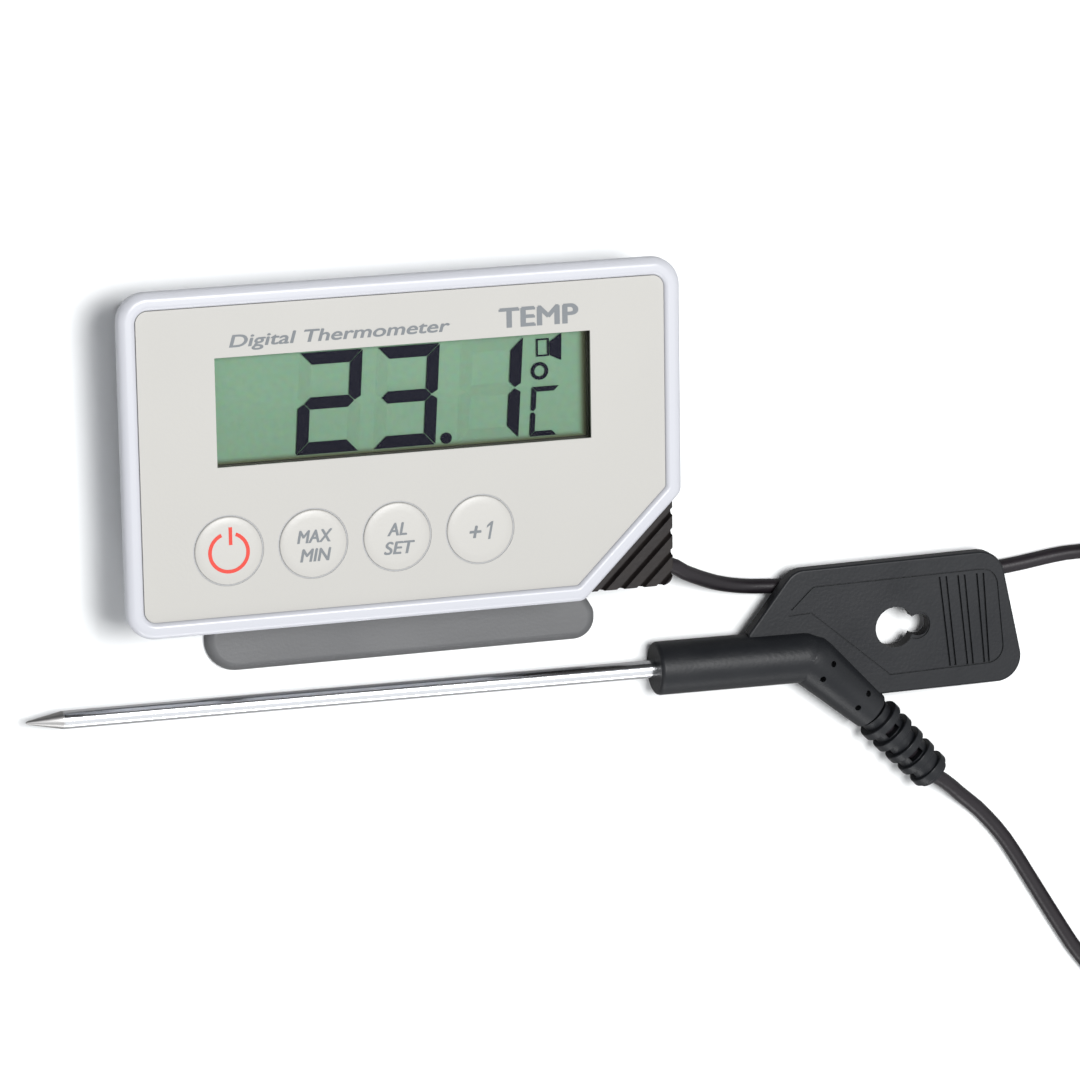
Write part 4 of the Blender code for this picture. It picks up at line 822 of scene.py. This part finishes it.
power_red = moulded("power_red", ((0.62, 0.030, 0.012), (0.57, 0.028, 0.012)), (0.45, 0.55), (2500, 0.00001))
power_mark = bmesh.new()
flat_ring(power_mark, (KEY_XS[0], KEY_Y - 0.0003), 0.0040, 0.0033, math.radians(112), math.radians(316), KEY_TOP_Z,
          PRINT_THICKNESS, 60)
power_bar = block((KEY_XS[0] + 0.00002, KEY_Y + 0.0011, KEY_TOP_Z),
                  (KEY_XS[0] + 0.0007, KEY_Y + 0.0045, KEY_TOP_Z + PRINT_THICKNESS))
bar_mesh = bpy.data.meshes.new("bar")
power_bar.to_mesh(bar_mesh)
power_bar.free()
power_mark.from_mesh(bar_mesh)
made_piece("power_mark", power_mark, power_red, "power_key", weighted=False)
for print_name, legend, low, high, body_name in (
        ("max_print", "MAX", (-0.0217, -0.0166), (-0.0148, -0.0141), "max_min_key"),
        ("min_print", "MIN", (-0.0212, -0.0202), (-0.0151, -0.0177), "max_min_key"),
        ("alarm_print", "AL", (-0.0042, -0.0166), (-0.0003, -0.0141), "alarm_set_key"),
        ("set_print", "SET", (-0.0049, -0.0202), (0.0012, -0.0177), "alarm_set_key"),
        ("plus_print", "+", (0.0119, -0.0184), (0.0143, -0.0160), "plus_one_key")):
    lettering(print_name, legend, low, high, KEY_TOP_Z, body_name)
ONE_SHAPE = [(0.00095, 0.0), (0.0014, 0.0), (0.0014, 0.0034), (0.0010, 0.0034), (0.0003, 0.0027), (0.0003, 0.0022)]
ONE_SHAPE += [(0.00095, 0.0027)]
one_points = [(0.0146 + x + 0.2 * y, -0.0188 + y) for x, y in ONE_SHAPE]
made_piece("one_print", slab(one_points, KEY_TOP_Z, KEY_TOP_Z + SEGMENT_THICKNESS), print_grey, "plus_one_key")


# Corner block: a soft ribbed rubber moulding that fills the cut-off corner and holds the cord. Its ribs
# run along the cut, with deep grooves between them.
SHELL_INSET = 0.0035
BLOCK_LOW, BLOCK_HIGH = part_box("corner_block")
BLOCK_RIGHT, BLOCK_BOTTOM = BLOCK_HIGH.x, BLOCK_LOW.y
BLOCK_LOW_Z, BLOCK_TOP_Z = BLOCK_LOW.z, BLOCK_HIGH.z
BLOCK_PITCH = 0.0028
BLOCK_OVERLAP = 0.0040  # how far the block runs along the shell past the ends of the cut
EAR_WAY_RIGHT = 0.0312
EAR_WAY_TOP = -0.0200
HINGE_Y = -0.02365
HINGE_Z = 0.0110
HINGE_RADIUS = 0.0082
BACK_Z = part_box("rear_case")[0].z
ALONG_X = Matrix(((0, 0, 1, 0), (1, 0, 0, 0), (0, 1, 0, 0), (0, 0, 0, 1)))


def hinge_waste(right):
    """What is taken off the lower rear edge so that the housing can turn over the stand."""
    reach = 0.0010
    arc = quarter((HINGE_Y, HINGE_Z), HINGE_RADIUS, 180, 270, 16)
    low_y = -CASE_HEIGHT / 2 - reach
    corners = [(low_y, HINGE_Z)] + arc + [(HINGE_Y, BACK_Z - reach), (low_y, BACK_Z - reach)]
    return slab(corners, -CASE_WIDTH, right, place=ALONG_X)


block_line = CHAMFER_LINE - (SHELL_INSET - GAP) * math.sqrt(2)
shell_right = CASE_WIDTH / 2 - SHELL_INSET + GAP
shell_low = -CASE_HEIGHT / 2 + SHELL_INSET - GAP
block_top_y = shell_right - CHAMFER_LINE + SHELL_INSET + BLOCK_OVERLAP
block_left_x = CHAMFER_LINE + shell_low - SHELL_INSET - BLOCK_OVERLAP
block_corners = [(block_line + shell_low, shell_low, 0.0), (block_left_x, shell_low, 0.0)]
block_corners += [(block_left_x, BLOCK_BOTTOM, 0.0010), (BLOCK_RIGHT, BLOCK_BOTTOM, 0.0022)]
block_corners += [(BLOCK_RIGHT, block_top_y, 0.0010), (shell_right, block_top_y, 0.0)]
block_corners += [(shell_right, shell_right - block_line, 0.0)]
ribbed_corner = (BLOCK_RIGHT - BLOCK_BOTTOM) / math.sqrt(2)
groove_section = [(-0.0007, 0.002), (-0.0005, -0.0010), (-0.0002, -0.0014)]
groove_section += [(0.0002, -0.0014), (0.0005, -0.0010), (0.0007, 0.002)]
block_steps = []
for index in range(4):
    groove_at = ribbed_corner - 0.0019 - index * BLOCK_PITCH
    groove_lie = Matrix.Rotation(math.radians(-45), 4, "Z") @ Matrix.Translation((groove_at, 0, BLOCK_TOP_Z))
    groove_lie = groove_lie @ Matrix.Rotation(math.radians(90), 4, "X")
    block_steps.append(("cut", slab(groove_section, -0.040, 0.040, place=groove_lie)))
block_steps.append(("cut", hinge_waste(0.0432)))
block_steps.append(("cut", block((0, -CASE_HEIGHT, BACK_Z - TOOL_REACH), (EAR_WAY_RIGHT, EAR_WAY_TOP, FRONT_Z))))
block_steps.append(("cut", rod(CORD_RADIUS + GAP, 0.0480, 0.0600, CORD_EXIT[1], CORD_EXIT[2], ALONG_X, 24)))
ribbed = worked(slab(outline(block_corners, 8), BLOCK_LOW_Z, BLOCK_TOP_Z, 0.00025, 0.0004, 3), block_steps)
block_rubber = moulded("block_rubber", ((0.009, 0.007, 0.007), (0.018, 0.015, 0.014)), (0.5, 0.66),
                       (1100, 0.00008), 400.0, Specular_IOR_Level=0.25)
made_piece("ribbed_block", ribbed, block_rubber, "housing", ("corner_block",))


# Rear case: the white moulded shell behind the bezel, with the battery door's opening, two slots for the
# stand's ears and four wells for the screws.
SHELL_TOP_Z = BEZEL_BACK_Z - GAP
EAR_XS = (-0.0266, 0.0286)
EAR_WIDTH = 0.0046
EAR_RADIUS = 0.0034
CASE_SCREWS = ((-0.0415, -0.02535), (-0.0340, 0.0246), (0.0468, 0.0246), (0.0465, -0.0080))
DOOR_LOW, DOOR_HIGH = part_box("battery_cover")
door_x = (DOOR_LOW.x + DOOR_HIGH.x) / 2
BACK_WALL = 0.0022
SCREW_WELL = 0.0020
shell_steps = [("cut", slab(case_outline(BEZEL_INSIDE, 0.0020), BACK_Z + BACK_WALL, FRONT_Z))]
shell_steps.append(("cut", hinge_waste(CASE_WIDTH)))
ear_half = EAR_WIDTH / 2 + GAP
ear_wall = 0.0012
ear_back = HINGE_Y + EAR_RADIUS + GAP
for ear_x in EAR_XS:
    shell_steps.append(("join", block((ear_x - ear_half - ear_wall, -0.02925, BACK_Z + 0.0060),
                                      (ear_x + ear_half + ear_wall, ear_back + ear_wall, HINGE_Z + 0.0045))))
    shell_steps.append(("cut", hinge_waste(CASE_WIDTH)))
    shell_steps.append(("cut", block((ear_x - ear_half, -CASE_HEIGHT, BACK_Z - TOOL_REACH),
                                     (ear_x + ear_half, ear_back, HINGE_Z + EAR_RADIUS + GAP))))
door_half = (DOOR_HIGH.x - DOOR_LOW.x) / 2 - 0.0007 + GAP
shell_steps.append(("cut", block((door_x - door_half, DOOR_LOW.y - GAP, BACK_Z - TOOL_REACH),
                                 (door_x + door_half, CASE_HEIGHT, BACK_Z + 0.0019))))
for screw_x, screw_y in CASE_SCREWS:
    shell_steps.append(("cut", rod(SCREW_WELL, BACK_Z - TOOL_REACH, BACK_Z + 0.0021, screw_x, screw_y, steps=40)))
shell_blank = slab(case_outline(SHELL_INSET, 0.0035), BACK_Z, SHELL_TOP_Z, 0, 0.0012, 5)
made_piece("rear_shell", worked(shell_blank, shell_steps), white_abs, "housing", ("rear_case",))


def eased(name, node, material, body, width):
    """A copy of a plain solid with its triangles merged and its edges rounded, which stands for it."""
    data = bmesh.new()
    data.from_mesh(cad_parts[node].data)
    bmesh.ops.remove_doubles(data, verts=data.verts, dist=1e-6)
    bmesh.ops.dissolve_limit(data, angle_limit=math.radians(1), verts=data.verts, edges=data.edges)
    bmesh.ops.recalc_face_normals(data, faces=data.faces)
    rim = [e for e in data.edges if e.is_manifold and e.calc_face_angle(0.0) > math.radians(30)]
    bmesh.ops.bevel(data, geom=rim, offset=width, segments=2, profile=0.5, affect="EDGES", material=-1,
                    clamp_overlap=True)
    return made_piece(name, data, material, body, (node,))


eased("battery_door_lid", "battery_cover", white_abs, "battery_door", 0.00015)


# Stand: a dark grey moulded plate under the unit, rounded at its front rim, with two ears that turn on
# short steel pins.
STAND_LEFT = -0.0354
STAND_RIGHT = 0.0424
STAND_THICKNESS = 0.0025
stand_front = -CASE_HEIGHT / 2 - 0.0120
stand_back = stand_front + 0.0570
waist = 0.0036
stand_corners = [(STAND_LEFT, stand_front, 0.0062), (STAND_RIGHT, stand_front, 0.0042)]
stand_corners += [(STAND_RIGHT, stand_front + 0.0056, 0.0030), (STAND_RIGHT - waist, stand_front + 0.0115, 0.0030)]
stand_corners += [(STAND_RIGHT - waist, stand_back, 0.0050)]
stand_corners += [(STAND_LEFT + waist, stand_back, 0.0050), (STAND_LEFT + waist, stand_front + 0.0125, 0.0030)]
stand_corners += [(STAND_LEFT, stand_front + 0.0075, 0.0030)]
EAR_FOOT = 0.0012
ear_loop = quarter((HINGE_Y, HINGE_Z), EAR_RADIUS, 0, 180, 24)
ear_loop += [(HINGE_Y - EAR_RADIUS, EAR_FOOT), (HINGE_Y + EAR_RADIUS, EAR_FOOT)]
stand_steps = []
for ear_x in EAR_XS:
    stand_steps.append(("join", slab(ear_loop, ear_x - EAR_WIDTH / 2, ear_x + EAR_WIDTH / 2, 0.0003, 0.0003, 2,
                                     ALONG_X)))
    stand_steps.append(("cut", rod(0.0014, ear_x - EAR_WIDTH, ear_x + EAR_WIDTH, HINGE_Y, HINGE_Z, ALONG_X, 24)))
stand_blank = slab(outline(stand_corners), 0.0, STAND_THICKNESS, 0.0018, 0.0003, 8)
stand_abs = moulded("stand_abs", ((0.098, 0.100, 0.103), (0.110, 0.112, 0.115)), (0.34, 0.44), (1600, 0.00003), 40.0)
made_piece("stand_foot", worked(stand_blank, stand_steps), stand_abs, "stand", ("stand_plate",))


# Probe: a ground and polished stainless steel tube with a closed conical point, pressed into the handle.
PROBE_Z = 0.00525
BEND_POINT = Vector((0.0847, -0.05135, PROBE_Z))
PROBE_YAW = math.radians(-0.46)
ALONG_PROBE = Matrix.Translation(BEND_POINT) @ Matrix.Rotation(PROBE_YAW, 4, "Z") @ ALONG_X
ALONG_PROBE = ALONG_PROBE @ Matrix.Translation((0, 0, -BEND_POINT.x))
SHEATH_RADIUS = 0.00175
SHEATH_TIP_X = -0.0715
SHEATH_POINT = 0.0072
SHEATH_BORE = 0.00125
SHEATH_LENGTH = 0.1420
sheath_profile = [(0, 0), (0.00018, 0.00008), (0.0004, 0.0006), (0.00150, SHEATH_POINT - 0.0012)]
sheath_profile += [(0.00168, SHEATH_POINT - 0.0004), (SHEATH_RADIUS, SHEATH_POINT + 0.0004)]
sheath_profile += [(SHEATH_RADIUS, SHEATH_LENGTH), (SHEATH_BORE, SHEATH_LENGTH), (SHEATH_BORE, SHEATH_POINT)]
sheath_profile += [(0, SHEATH_POINT - 0.0010)]


def steel_material(name, roughness, ground_to=-1.0):
    """Polished steel with faint turning marks round its axis, dull and darker up to ground_to along X."""
    material, nodes, link, shader = principled(name)
    shader.inputs["Metallic"].default_value = 1.0
    place = nodes.new("ShaderNodeTexCoord").outputs["Object"]
    stretch = nodes.new("ShaderNodeMapping")
    stretch.inputs["Scale"].default_value = (4000, 60, 60)
    link(place, stretch.inputs["Vector"])
    marks = noise(nodes, link, stretch.outputs["Vector"], 1.0, 3)
    spread = remapped(nodes, link, marks.outputs["Fac"], To_Min=roughness, To_Max=roughness + 0.10)
    parts = nodes.new("ShaderNodeSeparateXYZ")
    link(place, parts.inputs["Vector"])
    ground = remapped(nodes, link, parts.outputs["X"], From_Min=ground_to - 0.0002, From_Max=ground_to + 0.0002,
                      To_Min=1, To_Max=0)
    dull = nodes.new("ShaderNodeMath")
    dull.operation = "MULTIPLY_ADD"
    dull.inputs[1].default_value = 0.24
    link(ground.outputs["Result"], dull.inputs[0])
    link(spread.outputs["Result"], dull.inputs[2])
    link(dull.outputs["Value"], shader.inputs["Roughness"])
    tone = mixed(nodes, link, ground.outputs["Result"], (0.72, 0.73, 0.75, 1), (0.36, 0.355, 0.35, 1))
    link(tone, shader.inputs["Base Color"])
    bump = nodes.new("ShaderNodeBump")
    bump.inputs["Distance"].default_value = 0.000002
    link(marks.outputs["Fac"], bump.inputs["Height"])
    link(bump.outputs["Normal"], shader.inputs["Normal"])
    return material


polished_steel = steel_material("polished_steel", 0.12, SHEATH_TIP_X + SHEATH_POINT)
made_piece("steel_probe", spun(sheath_profile, ALONG_PROBE @ Matrix.Translation((0, 0, SHEATH_TIP_X)), 72),
           polished_steel, "probe", ("probe_sheath",), sharp=40)


# Handle: one soft dark moulding over a hard core: a straight grip, a bent grip and a flat flag with a
# keyhole, an engraved border and three pairs of narrow grooves.
HANDLE_RADIUS = 0.00525
HANDLE_END_RADIUS = 0.0040
HANDLE_START_X = 0.0533
GRIP_ANGLE = math.radians(-42.5)
GRIP_LENGTH = 0.0186
FLAG_BOTTOM = 0.0038
FLAG_TOP = 0.0068
straight_profile = [(0, HANDLE_START_X)]
straight_profile += quarter((HANDLE_RADIUS - 0.0008, HANDLE_START_X + 0.0008), 0.0008, 270, 360, 6)
straight_profile += [(HANDLE_RADIUS, BEND_POINT.x - 0.0012), (HANDLE_RADIUS * 0.97, BEND_POINT.x + 0.0002)]
straight_profile += [(HANDLE_RADIUS * 0.8, BEND_POINT.x + 0.0022), (HANDLE_RADIUS * 0.45, BEND_POINT.x + 0.0034)]
straight_profile += [(0, BEND_POINT.x + 0.0036)]
grip_profile = [(0, -0.0036), (HANDLE_RADIUS * 0.45, -0.0034), (HANDLE_RADIUS * 0.8, -0.0022)]
grip_profile += [(HANDLE_RADIUS * 0.98, 0.0), (HANDLE_RADIUS * 0.99, 0.0020)]
grip_profile += quarter((HANDLE_END_RADIUS - 0.0004, GRIP_LENGTH - 0.0004), 0.0004, 5, 90, 5)
grip_profile += [(0, GRIP_LENGTH)]
grip_lie = Matrix.Translation(BEND_POINT) @ Matrix.Rotation(GRIP_ANGLE, 4, "Z") @ ALONG_X
flag_corners = [(0.0724, -0.0475, 0.0), (0.0724, -0.0457, 0.0), (0.0818, -0.0337, 0.0045), (0.1252, -0.0331, 0.0055)]
flag_corners += [(0.1310, -0.0600, 0.0050), (0.0998, -0.0603, 0.0), (0.0960, -0.0580, 0.0), (0.0850, -0.0500, 0.0)]
flag_data = slab(outline(flag_corners), FLAG_BOTTOM, FLAG_TOP, 0.00045, 0.00045, 4)
handle_steps = [("join", spun(grip_profile, grip_lie, 72)), ("join", flag_data)]
hang_x, hang_y = 0.1030, -0.0469
for hole_radius, hole_low, hole_aside, hole_steps in ((0.0041, 0.0, 0.0, 72), (0.0022, 0.0, 0.0051, 48),
                                                      (0.0028, FLAG_TOP - 0.0004, 0.0046, 48)):
    handle_steps.append(("cut", rod(hole_radius, hole_low, 0.0100, hang_x + hole_aside, hang_y, steps=hole_steps)))


def engraving(points, width, depth):
    """A narrow channel along a line of points, to be cut into the flag's top face."""
    left, right = [], []
    for index, point in enumerate(points):
        here = Vector(point)
        before = Vector(points[index - 1]) if index else here
        after = Vector(points[index + 1]) if index + 1 < len(points) else here
        along = (after - here).normalized() + (here - before).normalized()
        side = Vector((-along.y, along.x)).normalized() * width / 2
        left.append(tuple(here + side))
        right.append(tuple(here - side))
    return slab(left + right[::-1], FLAG_TOP - depth, FLAG_TOP + 0.001)


border_corners = [(0.0806, -0.0426, 0.0), (0.0852, -0.0424, 0.0006), (0.1018, -0.0564, 0.0006)]
border_corners += [(0.1262, -0.0558, 0.0032), (0.1243, -0.0366, 0.0036), (0.0858, -0.0372, 0.0016)]
border_corners += [(0.0812, -0.0415, 0.0)]
border_line = outline(border_corners, 12)
handle_steps.append(("cut", engraving(border_line, 0.00032, 0.00035)))
GROOVE_HALF = 0.00022
GROOVE_TOP, GROOVE_LOW = -0.0375, -0.0558
GROOVE_XS = ((0.1123, 0.1146), (0.1137, 0.1158), (0.1162, 0.1183), (0.1176, 0.1195), (0.1202, 0.1219), (0.1216, 0.1229))
for top_x, low_x in GROOVE_XS:
    channel = [(top_x - GROOVE_HALF, GROOVE_TOP), (top_x + GROOVE_HALF, GROOVE_TOP)]
    channel += [(low_x + GROOVE_HALF, GROOVE_LOW), (low_x - GROOVE_HALF, GROOVE_LOW)]
    handle_steps.append(("cut", slab(channel, FLAG_TOP - 0.0006, FLAG_TOP + 0.001)))
for pin_x, pin_y in ((0.0889, -0.0524), (0.0866, -0.0552), (0.0965, -0.0593), (0.0942, -0.0619)):
    handle_steps.append(("cut", rod(0.0006, 0.0070, 0.0120, pin_x, pin_y, steps=24)))
handle_data = worked(spun(straight_profile, ALONG_PROBE, 72), handle_steps)
handle_rubber = moulded("handle_rubber", ((0.007, 0.008, 0.010), (0.011, 0.012, 0.014)), (0.38, 0.48),
                        (1500, 0.00004), 80.0, Specular_IOR_Level=0.26)
made_piece("probe_grip", handle_data, handle_rubber, "probe", ("probe_handle",))


# Strain relief: a short flexible sleeve with five collars, cut through between them so that it bends.
RELIEF_COLLARS = 5
RELIEF_CORE = 0.0033
RELIEF_COLLAR = 0.0045
RELIEF_BLUNT = 0.0002
RELIEF_BORE = CORD_RADIUS + 0.00005
relief_pitch = RELIEF_LENGTH / (RELIEF_COLLARS + 0.1)
relief_collar = relief_pitch * 0.46
relief_profile = [(RELIEF_BORE, 0.0), (RELIEF_CORE, 0.0)]
for index in range(RELIEF_COLLARS):
    collar_radius = RELIEF_COLLAR - 0.0005 * index / (RELIEF_COLLARS - 1)
    collar_start = relief_pitch * (index + 0.42)
    relief_profile += [(RELIEF_CORE, collar_start)]
    collar_end = collar_start + relief_collar
    blunt_radius = collar_radius - RELIEF_BLUNT
    relief_profile += quarter((blunt_radius, collar_start + RELIEF_BLUNT), RELIEF_BLUNT, 270, 360, 3)
    relief_profile += quarter((blunt_radius, collar_end - RELIEF_BLUNT), RELIEF_BLUNT, 0, 90, 3)
    relief_profile += [(RELIEF_CORE, collar_end)]
relief_profile += [(RELIEF_CORE, RELIEF_LENGTH), (RELIEF_BORE, RELIEF_LENGTH)]
relief_lie = Matrix.Translation(Vector(GRIP_END) + relief_direction * RELIEF_SETBACK)
relief_lie = relief_lie @ Matrix.Rotation(RELIEF_ANGLE, 4, "Z") @ ALONG_X
relief_steps = []
for index in range(RELIEF_COLLARS - 1):
    slot_start = relief_pitch * (index + 0.42) + relief_collar + 0.00025
    slot_end = relief_pitch * (index + 1.42) - 0.00025
    turn = Matrix.Rotation(math.radians(90 * (index % 2)), 4, "Z")
    opening = block((-0.0015, -0.006, slot_start), (0.0015, 0.006, slot_end))
    bmesh.ops.transform(opening, matrix=relief_lie @ turn, verts=opening.verts)
    relief_steps.append(("cut", opening))
made_piece("cord_sleeve", worked(spun(relief_profile, relief_lie, 64), relief_steps), handle_rubber, "probe",
           ("strain_relief",))

# Hidden working parts: each keeps its solid as it is and gets the look of what it is made of. They show only where
# the battery door or the stand uncovers them, or with the shell hidden.
plain_plastic = moulded("plain_plastic", ((0.020, 0.020, 0.022), (0.028, 0.028, 0.030)), (0.45, 0.55), (1800, 0.00002))
green_laminate = moulded("green_laminate", ((0.020, 0.115, 0.040), (0.026, 0.135, 0.050)), (0.35, 0.45), (900, 0.00001))
dark_resin = moulded("dark_resin", ((0.012, 0.012, 0.013), (0.018, 0.018, 0.019)), (0.35, 0.5), (1500, 0.00003))
printed_sleeve = moulded("printed_sleeve", ((0.030, 0.032, 0.036), (0.040, 0.042, 0.046)), (0.25, 0.35), (900, 0.00001))
core_insulation = moulded("core_insulation", ((0.42, 0.03, 0.02), (0.46, 0.035, 0.025)), (0.4, 0.5), (2200, 0.00001))
seal_black = moulded("seal_black", ((0.016, 0.016, 0.016), (0.022, 0.022, 0.022)), (0.6, 0.7), (2200, 0.00002))
screw_steel = steel_material("screw_steel", 0.28)
STEEL_NODES = ["battery_contact", "battery_spring", "stand_pin_left", "stand_pin_right", "board_screw_1",
               "board_screw_2"]
for number in range(1, 5):
    STEEL_NODES += [f"case_screw_{number}", f"dome_switch_{number}"]
INNER_LOOKS = {
    "steel": (screw_steel, STEEL_NODES),
    "board_laminate": (green_laminate, ("circuit_board",)),
    "chip_resin": (dark_resin, ("controller_chip", "sensor_bead")),
    "battery_wrap": (printed_sleeve, ("battery_cell",)),
    "dark_plastic": (plain_plastic, ("buzzer", "handle_core")),
    "seal_rubber": (seal_black, ("case_seal", "contact_strip")),
    "wire_pvc": (core_insulation, ("board_wire_1", "board_wire_2", "sensor_lead_1", "sensor_lead_2")),
    "cord_pvc": (cord_sheath, ("display_cable_end", "probe_cable_end")),
}
for slot_name, (inner_look, node_names) in INNER_LOOKS.items():
    for node_name in node_names:
        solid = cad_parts[node_name]
        solid.data.materials.clear()
        solid.data.materials.append(inner_look)
